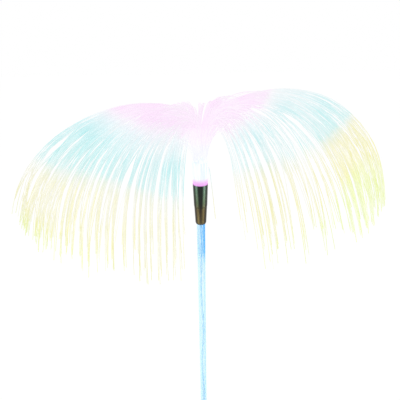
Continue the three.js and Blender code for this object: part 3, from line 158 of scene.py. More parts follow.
class Paint:
    """A material in the making: its shader, and short ways to add nodes to it."""

    def __init__(self, name, **values):
        self.material = bpy.data.materials.new(name)
        self.material.use_nodes = True
        self.tree = self.material.node_tree
        self.shader = self.tree.nodes["Principled BSDF"]
        self.place = self.node("TexCoord").outputs["Object"]
        for key, value in values.items():
            self.shader.inputs[key.replace("_", " ").title().replace("Ior", "IOR")].default_value = value

    def node(self, kind, inputs=(), **settings):
        return new_node(self.tree, kind, inputs, **settings)

    def join(self, source, name):
        """Gives the shader's input of this name a socket or a plain value."""
        join(self.tree, source, self.shader.inputs[name])

    def mapped(self, stretch=(1, 1, 1), turn=(0, 0, 0)):
        """The object's own coordinates, turned and stretched."""
        mapping = self.node("Mapping", {"Vector": self.place, "Scale": stretch, "Rotation": turn})
        return mapping.outputs["Vector"]

    def grain(self, size, detail=2.0, stretch=(1, 1, 1)):
        """Noise from 0 to 1, with features of about this size in metres."""
        inputs = {"Vector": self.mapped(stretch), "Scale": 1 / size, "Detail": detail}
        return self.node("TexNoise", inputs).outputs["Fac"]

    def axes(self):
        """The object's own X, Y and Z."""
        return self.node("SeparateXYZ", {0: self.place}).outputs

    def span(self, value, start, end, low=0.0, high=1.0, smooth=False):
        """The value between start and end, as low to high."""
        inputs = {"Value": value, "From Min": start, "From Max": end, "To Min": low, "To Max": high}
        kind = "SMOOTHSTEP" if smooth else "LINEAR"
        return self.node("MapRange", inputs, interpolation_type=kind).outputs["Result"]

    def uneven(self, value, low, high):
        """A noise's value as low to high."""
        return self.span(value, NOISE_LOW, NOISE_HIGH, low, high)

    def sums(self, operation, result, *others):
        """One number from several, by the operation."""
        for other in others:
            result = self.node("Math", {0: result, 1: other}, operation=operation).outputs[0]
        return result

    def ramp(self, value, *stops):
        """The value as a colour, by stops of (place, colour)."""
        made = self.node("ValToRGB", {"Fac": value})
        elements = made.color_ramp.elements
        while len(elements) < len(stops):
            elements.new(0.5)
        for element, (place, colour) in zip(elements, stops):
            element.position = place
            element.color = colour
        return made.outputs["Color"]

    def mix(self, share, first, second, blend="MIX"):
        """The first colour with this share of the second."""
        inputs = {0: share, 6: first, 7: second}
        return self.node("Mix", inputs, data_type="RGBA", blend_type=blend).outputs[2]

    def toned(self, colours, tone):
        """The colours, darkened to this tone of grey."""
        return self.mix(1.0, colours, (tone, tone, tone, 1), "MULTIPLY")

    def glow(self, colours, strength):
        self.join(colours, "Emission Color")
        self.join(strength, "Emission Strength")

    def bump(self, value, depth):
        """Bumps of this depth in metres."""
        self.join(self.node("Bump", {"Distance": depth, "Height": value}).outputs["Normal"], "Normal")


def moulded(name, dark, light, rough=(0.45, 0.62), size=0.0006, depth=0.00004):
    """Moulded plastic or rubber with a fine grain, slightly uneven in colour and gloss."""
    paint = Paint(name)
    paint.join(paint.ramp(paint.grain(0.02, 3), (NOISE_LOW, dark), (NOISE_HIGH, light)), "Base Color")
    paint.join(paint.uneven(paint.grain(0.009, 3), *rough), "Roughness")
    paint.bump(paint.grain(size), depth)
    return paint


def metal(name, dark, light, stretch):
    """Plated metal with fine brushing along one way."""
    paint = Paint(name, metallic=1.0)
    lines = paint.grain(0.0012, 3, stretch)
    paint.join(paint.ramp(lines, (NOISE_LOW, dark), (NOISE_HIGH, light)), "Base Color")
    paint.join(paint.uneven(lines, 0.25, 0.42), "Roughness")
    paint.bump(lines, 0.00002)
    return paint


def ferrule_paint():
    """Dark metallised gloss with a painted highlight band to each side, tinted green above and
    brown below as a painted reflection, and a painted pink glow at the very rim."""
    reflection_tint_length = 50
    # Where the painted rim glow starts and where it is full, below the rim.
    lit_from, lit_to = 0.7, 0.05
    paint = Paint("dark_ferrule", specular_ior_level=0.2)
    up = paint.axes()["Z"]
    rise = paint.span(up, (RIM - reflection_tint_length) * MM, RIM * MM)
    streaks = paint.grain(0.003, 3, (1, 1, 0.08))
    # Colours by height, a painted reflection tint: bluish at the foot, brown low down, green above.
    levels = (0.0, 0.07, 0.4, 0.58, 1.0)
    darks = (hue(18, 22, 50), hue(40, 32, 22), hue(43, 34, 24), hue(28, 33, 27), hue(24, 36, 30))
    painted_highlight_colours = (
        hue(60, 66, 100), hue(139, 121, 76), hue(141, 124, 80), hue(124, 146, 110), hue(128, 168, 146),
    )
    dark, bright = (paint.ramp(rise, *zip(levels, colours)) for colours in (darks, painted_highlight_colours))
    # Painted highlights: a bright band to each side, where the surface turns away from the view.
    facing = paint.node("LayerWeight", {"Blend": 0.5})
    painted_highlight_bands = paint.ramp(
        facing.outputs["Facing"], (0.13, BLACK), (0.21, WHITE), (0.27, WHITE),
        (0.38, (0.1, 0.1, 0.1, 1)), (0.7, BLACK),
    )
    # The painted highlights' share of the base colour, broken up by streaks.
    gloss = paint.sums("MULTIPLY", painted_highlight_bands, paint.span(streaks, 0.3, 0.62, 0.45, 1.0))
    paint.join(paint.mix(gloss, dark, bright), "Base Color")
    paint.join(paint.uneven(paint.grain(0.004, 4), 0.12, 0.22), "Roughness")
    # A painted pink glow at the cup's very rim.
    lit = paint.span(up, (RIM - lit_from) * MM, (RIM - lit_to) * MM, smooth=True)
    paint.glow(paint.mix(lit, BLACK, hue(232, 150, 236)), 0.8)
    paint.bump(streaks, 0.00003)
    return paint


def tube_paint():
    """Clear acrylic with a blue tint, stronger at its edges, on its right and in patches high up."""
    high_from, high_to = 450, 480
    right_from, right_to = 1.2, 3.8
    paint = Paint("clear_tube", roughness=0.08, coat_weight=0.4, coat_roughness=0.03)
    parts = paint.axes()
    cloud = paint.grain(0.007, 2, (1, 1, 0.07))
    high = paint.span(parts["Z"], high_from * MM, high_to * MM, 0.15, 1.0, smooth=True)
    right = paint.span(parts["X"], right_from * MM, right_to * MM, smooth=True)
    patches = paint.sums("MULTIPLY", paint.span(cloud, 0.48, 0.7, 0.0, 0.5), high)
    bright = paint.sums("MULTIPLY", right, high, paint.span(cloud, 0.3, 0.6, 0.7, 1.0))
    strong = paint.sums("MAXIMUM", patches, bright)
    edge = paint.node("LayerWeight", {"Blend": 0.35})
    rim = paint.span(edge.outputs["Facing"], 0.2, 0.9, 0.0, 0.4)
    paint.join(paint.mix(strong, hue(176, 228, 250), hue(34, 164, 240)), "Base Color")
    paint.join(paint.sums("ADD", paint.sums("MULTIPLY", strong, 0.7), 0.11, rim), "Alpha")
    # A faint painted blue glow, deeper where the tint is stronger.
    paint.glow(paint.mix(strong, hue(140, 214, 246), hue(60, 166, 232)), 0.25)
    return paint


def fibre_paint():
    """Side-glow fibre: magenta at the rim, white in the neck, then pink, cyan and yellow."""
    paint = Paint("glow_fibre", roughness=0.35, specular_ior_level=0.2)
    along = paint.node("Attribute", attribute_name="along").outputs["Fac"]
    tint = paint.node("Attribute", attribute_name="tint").outputs["Fac"]
    colours = paint.ramp(
        along,
        (0.0, hue(238, 176, 241)), (0.015, hue(240, 190, 243)), (0.04, hue(236, 242, 252)),
        (0.06, hue(245, 236, 252)), (0.12, hue(255, 235, 255)), (0.35, hue(255, 231, 255)),
        (0.4, hue(249, 245, 253)), (0.46, hue(226, 246, 250)), (0.56, hue(184, 240, 242)),
        (0.68, hue(196, 241, 240)), (0.71, hue(230, 240, 222)), (0.75, hue(244, 240, 186)),
        (0.9, hue(245, 241, 172)), (1.0, hue(236, 248, 158)),
    )
    clouds = paint.span(paint.grain(0.028), 0.38, 0.62, 0.0, 0.3)
    pale = paint.sums("ADD", clouds, paint.span(tint, 0.1, 2.0, 0.0, 0.85))
    colours = paint.mix(pale, colours, hue(253, 253, 254))
    paint.glow(colours, paint.span(along, 0.05, 0.13, 0.75, 0.675))
    paint.join(paint.toned(colours, 0.3), "Base Color")
    return paint


def bundle_paint():
    """The gathered bundle between the strands: white light with fine bluish streaks, and a magenta
    ring at the rim."""
    ring_full, ring_end = 1.5, 8.5
    paint = Paint("bundle_glow", roughness=0.4)
    streaks = paint.grain(0.0009, 3, (1, 1, 0.03))
    white = paint.ramp(streaks, (0.36, hue(222, 236, 252)), (0.6, hue(253, 253, 255)))
    up = paint.axes()["Z"]
    ring = paint.span(up, (RIM + ring_full) * MM, (RIM + ring_end) * MM, 1.0, 0.0, smooth=True)
    colours = paint.mix(ring, white, hue(238, 176, 242))
    paint.glow(colours, 0.82)
    paint.join(paint.toned(colours, 0.25), "Base Color")
    paint.bump(streaks, 0.0002)
    return paint


def window_paint():
    """Clear polycarbonate with faint scuffs."""
    paint = Paint("clear_window", coat_weight=0.6, coat_roughness=0.02)
    scuffs = paint.grain(0.004, 4, (1, 6, 1))
    paint.join(paint.ramp(scuffs, (0.4, hue(214, 226, 236)), (0.7, hue(238, 242, 246))), "Base Color")
    paint.join(paint.span(scuffs, 0.45, 0.75, 0.03, 0.2), "Roughness")
    paint.join(paint.span(scuffs, 0.5, 0.8, 0.03, 0.1), "Alpha")
    return paint


def silicon_paint():
    """Dark blue silicon with fine pale fingers across each strip, in the panel's own directions."""
    finger_scale, crystal_scale = 140, 170
    paint = Paint("silicon", coat_weight=0.5, coat_roughness=0.05, metallic=0.2)
    flat = paint.mapped(turn=(math.radians(PANEL_TILT), 0, 0))
    inputs = {"Vector": flat, "Scale": finger_scale, "Distortion": 0}
    fingers = paint.node("TexWave", inputs, wave_type="BANDS", bands_direction="Z", wave_profile="SIN")
    lines = paint.span(fingers.outputs["Fac"], 0.93, 0.99)
    crystals = paint.node("TexVoronoi", {"Vector": flat, "Scale": crystal_scale})
    blue = paint.ramp(crystals.outputs["Color"], (0.2, hue(14, 20, 54)), (0.8, hue(24, 34, 78)))
    paint.join(paint.mix(lines, blue, hue(84, 92, 124)), "Base Color")
    paint.join(paint.span(crystals.outputs["Distance"], 0.0, 1.0, 0.2, 0.35), "Roughness")
    return paint


def wire_paint():
    """Pale blue insulation, a little cloudy along its length."""
    paint = Paint("wire_skin", roughness=0.35)
    cloud = paint.grain(0.012, 3)
    paint.join(paint.ramp(cloud, (0.35, hue(160, 214, 244)), (0.65, hue(200, 232, 250))), "Base Color")
    paint.bump(paint.grain(0.0008), 0.00003)
    return paint


def soiled_paint():
    """The spike's black plastic, scuffed paler towards its point."""
    worn_full, worn_end = -150, -10
    paint = Paint("spike_plastic")
    broad = paint.grain(0.015, 4)
    low = paint.span(paint.axes()["Z"], worn_full * MM, worn_end * MM, 1.0, 0.0)
    worn = paint.sums("MULTIPLY", paint.span(paint.grain(0.006, 5, (1, 1, 0.25)), 0.5, 0.72), low)
    black = paint.ramp(broad, (NOISE_LOW, hue(30, 31, 33)), (NOISE_HIGH, hue(42, 43, 45)))
    paint.join(paint.mix(worn, black, hue(92, 86, 78)), "Base Color")
    paint.join(paint.uneven(broad, 0.5, 0.66), "Roughness")
    paint.bump(paint.grain(0.0006), 0.00005)
    return paint


paints = {
    "black_plastic": moulded("black_plastic", hue(29, 30, 32), hue(42, 43, 46)),
    "dark_ferrule": ferrule_paint(),
    "clear_tube": tube_paint(),
    "clear_window": window_paint(),
    "rubber": moulded("rubber", hue(26, 26, 27), hue(38, 38, 39), (0.7, 0.9), 0.0009, 0.00005),
    "glow_fibre": fibre_paint(),
    "wire_skin": wire_paint(),
    "steel": metal("steel", hue(150, 152, 156), hue(206, 208, 212), (1, 1, 6)),
    "silicon": silicon_paint(),
    "green_board": moulded("green_board", hue(22, 84, 48), hue(40, 112, 66), (0.3, 0.5), 0.0008),
    "black_epoxy": moulded("black_epoxy", hue(22, 22, 24), hue(36, 36, 38), (0.4, 0.6)),
    "copper": metal("copper", hue(150, 82, 46), hue(196, 120, 74), (8, 1, 1)),
    "led_lens": moulded("led_lens", hue(232, 234, 240), hue(250, 250, 252), (0.05, 0.15), 0.003, 0.00002),
    "battery_wrap": moulded("battery_wrap", hue(40, 124, 66), hue(58, 152, 84), (0.2, 0.35), 0.004),
}


# Shapes

# Angles in degrees, by which faces are smooth, corners are left unrounded and edges are bevelled.
SMOOTH_BELOW = 38
STRAIGHT_ABOVE = 172
FLAT_BELOW = 3
BEVEL_ABOVE = 32
BEVEL_SEGMENTS = 2
ROUNDING_STEPS = 3
# The most of a profile's side that a rounded corner takes.
ROUNDING_REACH = 0.45
# How close two corners of a CAD mesh are that count as one, in metres, and a length as good as none.
WELD = 2e-6
TINY = 1e-12


def finished(mesh):
    """Smooth faces, with sharp edges where they meet at a larger angle."""
    mesh.polygons.foreach_set("use_smooth", [True] * len(mesh.polygons))
    mesh.set_sharp_from_angle(angle=math.radians(SMOOTH_BELOW))


def add(name, shape, body, slot, replaced=(), place=None, numbers=None, weighted=True, paint=None):
    """A piece from points in millimetres and faces, on its body and standing for the nodes named."""
    points, faces = shape
    mesh = bpy.data.meshes.new(name)
    at = np.asarray(points, float) * MM
    if place is not None:
        at = at @ np.array(place.to_3x3()).T + np.array(place.translation)
    mesh.from_pydata(at.tolist(), [], [list(face) for face in faces])
    for key, values in (numbers or {}).items():
        mesh.attributes.new(key, "FLOAT", "POINT").data.foreach_set("value", np.asarray(values, np.float32))
    return placed(name, mesh, body, slot, replaced, weighted, paint)


def placed(name, mesh, body, slot, replaced=(), weighted=True, paint=None):
    """A piece from a mesh in metres, with its own paint or its slot's."""
    built = bmesh.new()
    built.from_mesh(mesh)
    bmesh.ops.recalc_face_normals(built, faces=built.faces)
    built.to_mesh(mesh)
    built.free()
    finished(mesh)
    mesh.materials.clear()
    mesh.materials.append((paint or paints[slot]).material)
    made = linked(name, mesh)
    if weighted:
        made.modifiers.new("normals", "WEIGHTED_NORMAL").keep_sharp = True
    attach(made, body)
    if replaced:
        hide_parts(*replaced)
    return made


def rounded(profile, radius, closed=False):
    """The profile with its corners rounded, but for those on the axis."""
    points = [Vector(point) for point in profile]
    count = len(points)
    made = []
    for i, point in enumerate(points):
        before, after = points[i - 1] - point, points[(i + 1) % count] - point
        ends = not closed and i in (0, count - 1)
        if ends or point.x == 0 or before.angle(after) > math.radians(STRAIGHT_ABOVE):
            made.append(tuple(point))
            continue
        reach = min(radius, before.length * ROUNDING_REACH, after.length * ROUNDING_REACH)
        start, end = point + before.normalized() * reach, point + after.normalized() * reach
        for step in range(ROUNDING_STEPS + 1):
            share = step / ROUNDING_STEPS
            low = start.lerp(point, share)
            made.append(tuple(low.lerp(point.lerp(end, share), share)))
    return made


def turned(profile, sides=72, closed=False):
    """Points and faces of a body of revolution about Z. A profile point on the axis is a pole."""
    points, rings = [], []
    for radius, up in profile:
        if radius == 0:
            rings.append([len(points)])
            points.append((0, 0, up))
            continue
        rings.append(list(range(len(points), len(points) + sides)))
        for i in range(sides):
            turn = 2 * math.pi * i / sides
            points.append((radius * math.cos(turn), radius * math.sin(turn), up))
    faces = []
    for low, high in zip(rings, rings[1:] + (rings[:1] if closed else [])):
        for i in range(sides):
            j = (i + 1) % sides
            corners = [low[i % len(low)], low[j % len(low)], high[j % len(high)], high[i % len(high)]]
            face = list(dict.fromkeys(corners))
            if len(face) > 2:
                faces.append(face)
    return points, faces


def ring_of(profile, rounding, sides=72):
    """Points and faces of a ring about Z whose closed profile has rounded corners."""
    return turned(rounded(profile, rounding, closed=True), sides, closed=True)


def dressed(node, bevel, paint=None):
    """A CAD node's shape with softened edges, standing for it on its body."""
    source = frame["nodes"][node]
    built = bmesh.new()
    built.from_mesh(source.data)
    bmesh.ops.remove_doubles(built, verts=built.verts, dist=WELD)
    bmesh.ops.dissolve_limit(
        built, angle_limit=math.radians(FLAT_BELOW), verts=built.verts, edges=built.edges,
    )
    closed = [edge for edge in built.edges if len(edge.link_faces) == 2]
    sharp = [edge for edge in closed if edge.calc_face_angle() > math.radians(BEVEL_ABOVE)]
    bmesh.ops.bevel(
        built, geom=sharp, offset=bevel * MM, segments=BEVEL_SEGMENTS, profile=0.5,
        affect="EDGES", clamp_overlap=True,
    )
    mesh = bpy.data.meshes.new(node + "_dressed")
    built.to_mesh(mesh)
    built.free()
    return placed(node + "_piece", mesh, source["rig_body"], slot_of[node], (node,), paint=paint)


def without(piece, cutter):
    """Cuts the cutter out of the piece, and removes the cutter."""
    cutting = piece.modifiers.new("cut", "BOOLEAN")
    cutting.operation = "DIFFERENCE"
    cutting.solver = "EXACT"
    cutting.object = cutter
    piece.modifiers.move(len(piece.modifiers) - 1, 0)
    bpy.context.view_layer.update()
    ready = piece.evaluated_get(bpy.context.evaluated_depsgraph_get())
    mesh = bpy.data.meshes.new_from_object(ready)
    piece.modifiers.remove(cutting)
    piece.data = mesh
    finished(mesh)
    bpy.data.objects.remove(cutter)


# Fibres. Each side's strands are nested arcs, as the solids' are, but more, finer, less even and
# gathered into clumps. An arc is given by how far out it reaches, from 0 by the tube to 1. It is a
# cubic curve from the neck, by its launch and its shoulder, to its tip. Out is away from the axis and
# up is above the rim, in millimetres.

STRANDS = {"left": 430, "right": 300}
STRAND_RADIUS = 0.34
STRAND_SIDES = 3
STRAND_END = 0.95
STEPS = 28
# Above 1, the steps are shorter where the strand leaves the neck.
STEP_CROWDING = 1.15

# For the arc by the tube and the arc farthest out.
LAUNCH_OUT = {"left": (16, -30), "right": (14, -13)}
LAUNCH_UP = {"left": (58, 127), "right": (56, 114)}
SHOULDER_OUT = {"left": (25, 173), "right": (22, 174)}
SHOULDER_UP = {"left": (66, 90), "right": (80, 139)}
TIP_OUT = {"left": (18, 213), "right": (43, 207)}
# How the arcs between change from the one to the other, as (how far out, share of the change).
SHOULDER_CHANGE = {
    "left": ((0, 0), (1, 1)),
    "right": (
        (0, 0), (0.12, 0.064), (0.25, 0.165), (0.5, 0.4), (0.7, 0.585), (0.84, 0.72), (0.93, 0.85), (1, 1),
    ),
}
TIP_CHANGE = {
    "left": ((0, 0), (1, 1)),
    "right": ((0, 0), (0.45, 0.5), (0.58, 0.66), (0.74, 0.86), (1, 1)),
}
# Below 1, more of the shoulders are as high as the far ones.
CREST_POWER = 0.45
# How high the tips are, as (how far out, level).
TIP_LEVELS = {
    "left": (
        (0, -98), (0.15, -100), (0.3, -90), (0.42, -96), (0.65, -92), (0.8, -82), (0.9, -72), (0.96, -58),
        (1, -32),
    ),
    "right": (
        (0, -44), (0.09, -60), (0.18, -86), (0.5, -80), (0.7, -74), (0.84, -60), (0.93, -48), (1, -30),
    ),
}
# How the strands are shared out among the arcs, as (share of the strands, how far out).
CROWDS = {
    "left": ((0, 0), (0.02, 0.05), (0.32, 0.3), (0.62, 0.66), (0.82, 0.88), (1, 1)),
    "right": ((0, 0), (0.015, 0.08), (0.05, 0.16), (0.34, 0.45), (0.43, 0.58), (0.49, 0.74), (1, 1)),
}
# The share of the strands that end early, as (how far out, share), and where on its arc one ends.
SHORT_ONES = {
    "left": ((0, 0.05), (0.5, 0.12), (0.8, 0)),
    "right": ((0, 0), (0.2, 0.42), (0.5, 0.42), (0.62, 0.1), (1, 0)),
}
EARLY_END = (0.68, 0.86)
# How much the other strands' lengths differ, and the least share of its arc that one has.
LENGTH_SPREAD = 0.03
LEAST_LENGTH = 0.86
# How far strands are shifted at random at the launch, the shoulder and the tip, least far out.
LOOSE_OUT = (0.8, 1.3, 0.4)
LOOSE_UP = 3

# The tips keep within an oval seen from above: how deep it is by the tube, and where it would close.
DEPTH_REACH = 86
OVAL_OUT = 216
# Above 1, more of the tips are on the oval's edge.
OVAL_CROWDING = 1.05
LAUNCH_DEEP_SHARE = 0.04
SHOULDER_DEEP_SHARE = 0.72
# This far behind the axis the strands reach out twice as far, as what is near looks larger.
VANISHING = 331
# How much lower the fountain hangs behind, of the depth.
LEAN = 0.2
# How much lower still the tips hang behind, so that they look level from the front.
TIP_TRIM = 0.12

# The bundle's radius, as (height above the rim, radius). Down the cup a strand keeps its share of
# it. At the neck each strand is on its tip's side of the axis, give or take ROOT_SPREAD in radians.
BUNDLE_RADII = ((-20, 6.2), (-1.0, 7.1), (1.0, 8.35), (12, 8.5), (NECK, 8.7))
NECK_RADIUS = 8.6
ROOT_REACH = 8.2
ROOT_SPREAD = 0.25
STEM_LEVELS = (-17.0, -8.0, -1.0, 1.5, 9.0, 17.0)
SMOOTHED_FROM = 4
SMOOTHINGS = 2

# Clumps: how far along the strand they are, how wide, and how close their strands are gathered.
CLUMP_ROUNDS = (
    (0.36, (12, 22), (0.4, 0.75)), (0.56, (5, 12), (0.35, 0.8)), (0.74, (6, 13), (0.4, 0.9)),
    (1.0, (5, 12), (0.6, 0.97)),
)
MOST_CLUMPS = 60
# The most of its way to its clump that a strand is pulled.
CLOSEST = 0.96
# From this far along, the clumps within INNER keep their places and the others begin at OUTER.
INNER, OUTER = 0.4, 0.44
INNER_KEPT_FROM = 0.6
# How much closer the inner clumps are gathered than the others, and where along the strand.
INNER_GATHER = {"left": 0.45, "right": 0.25}
INNER_GATHER_ALONG = ((0.5, 0), (0.55, 1), (0.75, 1), (1, 0))
# The share of an arc that isn't combed, and how much later the far strands are combed.
UNCOMBED = 0.16
COMBED_LATER = 0.6
COMBING_LENGTH = 0.32
# How far a strand sways about its arc, in and out, and how often.
SWAY = 0.004
SWAY_TURNS = (1.0, 2.6)

# Where the light turns from pink to cyan and from cyan to yellow, as x and level above the rim. The
# level falls off towards the front by SLANT.
SLANT = 0.4
PINK_END = (
    (-120, 112), (-91, 76), (-72, 63), (-52, 53), (-24, 50), (0, 40), (30, 50), (43, 60), (63, 73), (80, 120),
)
CYAN_END = (
    (-208, 75), (-190, 44), (-171, 29), (-148, 16), (-107, 8), (-71, -3), (-39, -15), (-17, -17),
    (30, 10), (64, 20), (95, 26), (123, 41), (146, 64), (165, 110),
)
# Where these turns are on the ramp of the fibre's paint, and how long each band is there.
PINK_TO_CYAN = 0.4
CYAN_TO_YELLOW = 0.7
BAND = 0.3
DEEPEST_PINK = 0.11
# The millimetres over which the pink and the yellow run through their bands.
PINK_RUN = 60
YELLOW_RUN = 115
# The neck's colours, as (height above the rim, place on the ramp).
NECK_COLOURS = ((1.5, 0.0), (8, 0.04), (42, 0.05), (62, 0.12))


def ease(share):
    """0 to 1 as a smooth step."""
    share = np.clip(share, 0, 1)
    return share * share * (3 - 2 * share)


def mixed(low, high, share):
    return low + (high - low) * share


def looked_up(value, table):
    """The value by a table of (value, result), straight between its rows."""
    return np.interp(value, *zip(*table))


def bezier(corners, share):
    """Points on cubic arcs."""
    rest = 1 - share
    a, b, c, d = corners
    return rest**3 * a + 3 * rest**2 * share * b + 3 * rest * share**2 * c + share**3 * d


def unit(vectors):
    return vectors / (np.linalg.norm(vectors, axis=-1, keepdims=True) + TINY)


def smoothed(path, times, first=1):
    """The paths with their corners smoothed away from the first point on. Their ends stay."""
    for _ in range(times):
        sides = path[:, first - 1 : -2] + 2 * path[:, first:-1] + path[:, first + 1 :]
        path[:, first:-1] = sides / 4
    return path


def strand_shares(far, hand, dice):
    """Where each strand's points are on its arc, from 0 to 1 or to where the strand ends."""
    share = np.linspace(0, 1, STEPS + 1) ** STEP_CROWDING
    short = dice.random(far.shape) < looked_up(far, SHORT_ONES[hand])
    share = share * np.clip(1 - np.abs(dice.normal(0, LENGTH_SPREAD, far.shape)), LEAST_LENGTH, 1)
    return share * np.where(short, dice.uniform(*EARLY_END, far.shape), 1)


def strand_stems(start, angle):
    """The strands' lower ends, up the cup to the neck, as points of (strand, step, 3)."""
    rise = np.array(STEM_LEVELS)
    spread = looked_up(rise, BUNDLE_RADII) * (start / NECK_RADIUS)
    up = np.broadcast_to(RIM + rise, spread.shape)
    return np.stack([spread * np.cos(angle), spread * np.sin(angle), up], -1)


def fountain(hand, clumps, dice):
    """Paths of one side's strands, up from the cup, as points of (strand, step, 3), and which are
    behind. A strand's own numbers are in columns, to spread over its steps."""
    count = STRANDS[hand]
    sign = -1 if hand == "left" else 1
    far = looked_up((np.arange(count)[:, None] + 0.5) / count, CROWDS[hand])
    share = strand_shares(far, hand, dice)
    reach = mixed(*TIP_OUT[hand], looked_up(far, TIP_CHANGE[hand]))
    widest = DEPTH_REACH * np.sqrt(1 - (reach / OVAL_OUT) ** 2)
    back = widest * np.clip(dice.uniform(-1, 1, far.shape) * OVAL_CROWDING, -1, 1)
    angle = np.arctan2(back, sign * reach) + dice.normal(0, ROOT_SPREAD, far.shape)
    start = ROOT_REACH * np.sqrt(dice.random(far.shape))
    fars = combed(far, share, clumps, dice)
    lift = 0.2 + 0.8 * far**0.7 + dice.normal(0, 0.2, far.shape) * (1 - 0.7 * far)
    lift = np.clip(lift, 0, 1)

    def loosened(values, loose):
        return values + dice.normal(0, loose, far.shape) * (1 - 0.75 * far)

    outs = [
        mixed(*LAUNCH_OUT[hand], lift),
        mixed(*SHOULDER_OUT[hand], looked_up(fars, SHOULDER_CHANGE[hand])),
        mixed(*TIP_OUT[hand], looked_up(fars, TIP_CHANGE[hand])),
    ]
    outs = [sign * loosened(values, loose) for values, loose in zip(outs, LOOSE_OUT)]
    ups = [
        mixed(*LAUNCH_UP[hand], lift),
        mixed(*SHOULDER_UP[hand], fars**CREST_POWER),
        looked_up(fars, TIP_LEVELS[hand]),
    ]
    ups = [loosened(values, LOOSE_UP) for values in ups]
    ups[2] = ups[2] - TIP_TRIM * back
    x, y = start * np.cos(angle), start * np.sin(angle)
    across = bezier([x, *outs], share)
    depth = bezier([y, y + back * LAUNCH_DEEP_SHARE, back * SHOULDER_DEEP_SHARE, back], share)
    up = bezier([NECK, *ups], share)
    arc = np.stack([across * (1 + depth / VANISHING), depth, RIM + up - LEAN * depth], -1)
    path = np.concatenate([strand_stems(start, angle), arc], 1)
    return smoothed(path, SMOOTHINGS, SMOOTHED_FROM), back[:, 0] > 0


def combed(far, share, clumps, dice):
    """How far out each strand's arc is at each step, gathered into clumps anew at a few places."""
    knots, pulls = [0.0, UNCOMBED], [0.0, 0.0]
    for at, places, strength in clumps:
        own = np.abs(far - places).argmin(1)[:, None]
        ready = np.interp(at - COMBED_LATER * far, [0, COMBING_LENGTH], [0, 1])
        pull = strength[own] * dice.uniform(0.75, 1.1, far.shape) * ready
        knots.append(at)
        pulls.append((places[own] - far) * np.minimum(pull, CLOSEST))
    fars = far
    for i in range(len(knots) - 1):
        inside = (share > knots[i]) & (share <= knots[i + 1])
        part = ease((share - knots[i]) / (knots[i + 1] - knots[i]))
        fars = fars + np.where(inside, mixed(pulls[i], pulls[i + 1], part), 0)
    turns = share * dice.uniform(*SWAY_TURNS, far.shape) + dice.random(far.shape)
    sway = dice.normal(0, SWAY, far.shape) * (1 + 2 * ease((far - 0.6) / 0.3))
    sway = sway * ease((share - 0.25) / 0.5)
    return np.clip(fars + sway * np.sin(2 * math.pi * turns), 0, 1)


def make_clumps(hand, dice):
    """Sets of clumps of one side's strands: how far along, which arcs, and how close."""
    nearest, farthest = TIP_OUT[hand]
    made = []
    for at, widths, strengths in CLUMP_ROUNDS:
        places = np.cumsum(dice.uniform(*widths, MOST_CLUMPS)) / (farthest - nearest) - 0.02
        places = places[places < 1.03]
        if at > INNER_KEPT_FROM:
            before = made[-1][1]
            places = np.concatenate([before[before < INNER], places[places > OUTER]])
        closer = INNER_GATHER[hand] * (places < INNER) * looked_up(at, INNER_GATHER_ALONG)
        strength = dice.uniform(*strengths, len(places)) + closer
        made.append((at, places, np.minimum(strength, CLOSEST)))
    return made


def colour_places(path):
    """Where each point's colour is on the fibre's ramp: magenta at the rim, white neck, then the bands."""
    depth = path[..., 1]
    across, level = path[..., 0] / (1 + depth / VANISHING), path[..., 2] - RIM + SLANT * depth
    pink = looked_up(across, PINK_END) - level
    cyan = looked_up(across, CYAN_END) - level
    in_pink = np.maximum(DEEPEST_PINK, PINK_TO_CYAN + pink / PINK_RUN * BAND)
    in_cyan = PINK_TO_CYAN + BAND * pink / np.maximum(pink - cyan, 1)
    in_yellow = CYAN_TO_YELLOW + BAND * np.minimum(1, cyan / YELLOW_RUN)
    place = np.select([pink < 0, cyan > 0], [in_pink, in_yellow], in_cyan)
    up = path[..., 2] - RIM
    highest = np.maximum.accumulate(up, axis=1)
    neck = looked_up(highest, NECK_COLOURS)
    rising = (highest < NECK_COLOURS[-1][0]) & (up > highest - 1)
    return np.where(rising, np.minimum(place, neck), place)


def paleness(path, along):
    """How much paler each point is, by its band and its side."""
    cyan = ease((along - PINK_TO_CYAN) / 0.05) * (along < CYAN_TO_YELLOW)
    yellow = ease((along - 0.68) / 0.07) * (1 - 0.9 * ease((along - 0.75) / 0.2))
    return np.where(path[..., 0] < 0, 0.6 * yellow + 0.15 * cyan, 0.55 * cyan + 0.25 * yellow)


def tubes(path, radius, sides):
    """Points and faces of a closed tube round every path, thinner at its end."""
    runs = unit(np.diff(path, axis=1))
    along = unit(np.concatenate([runs[:, :1], runs[:, 1:] + runs[:, :-1], runs[:, -1:]], 1))
    count, rings = path.shape[:2]
    no_path_along = [0.31, 0.95, 0.05]
    side = unit(np.cross(along[:, 0], no_path_along))
    points = np.empty((count, rings, sides, 3))
    for ring in range(rings):
        ahead = along[:, ring]
        side = unit(side - (side * ahead).sum(-1, keepdims=True) * ahead)
        other = np.cross(ahead, side)
        size = radius * mixed(1, STRAND_END, max(0, ring / (rings - 1) - 0.5) * 2)
        for i in range(sides):
            turn = 2 * math.pi * i / sides
            points[:, ring, i] = path[:, ring] + size * (side * math.cos(turn) + other * math.sin(turn))
    index = np.arange(count * rings * sides).reshape(count, rings, sides)
    low, high = index[:, :-1], index[:, 1:]
    walls = np.stack([low, np.roll(low, -1, 2), np.roll(high, -1, 2), high], -1).reshape(-1, 4)
    caps = np.concatenate([index[:, 0, ::-1], index[:, -1]])
    return points.reshape(-1, 3), walls.tolist() + caps.tolist()


# The locks in the middle, as (x, height above the rim) of their tips. Those by the axis are thinner.
TUFT_TIPS = (
    (-31, 80), (-26, 82), (-21, 83), (-16.5, 84), (-12.5, 84), (-8, 81), (-4, 80),
    (-0.5, 83), (2.5, 84), (5.5, 83), (13, 85), (17, 87), (21, 88), (26, 88.5), (31, 88), (37, 86),
)
TUFT_STRANDS, THIN_TUFT_STRANDS = 12, 7
THIN_TUFTS_WITHIN = 7
TUFT_STEPS = 17
TUFT_ROOT_REACH = 3.2


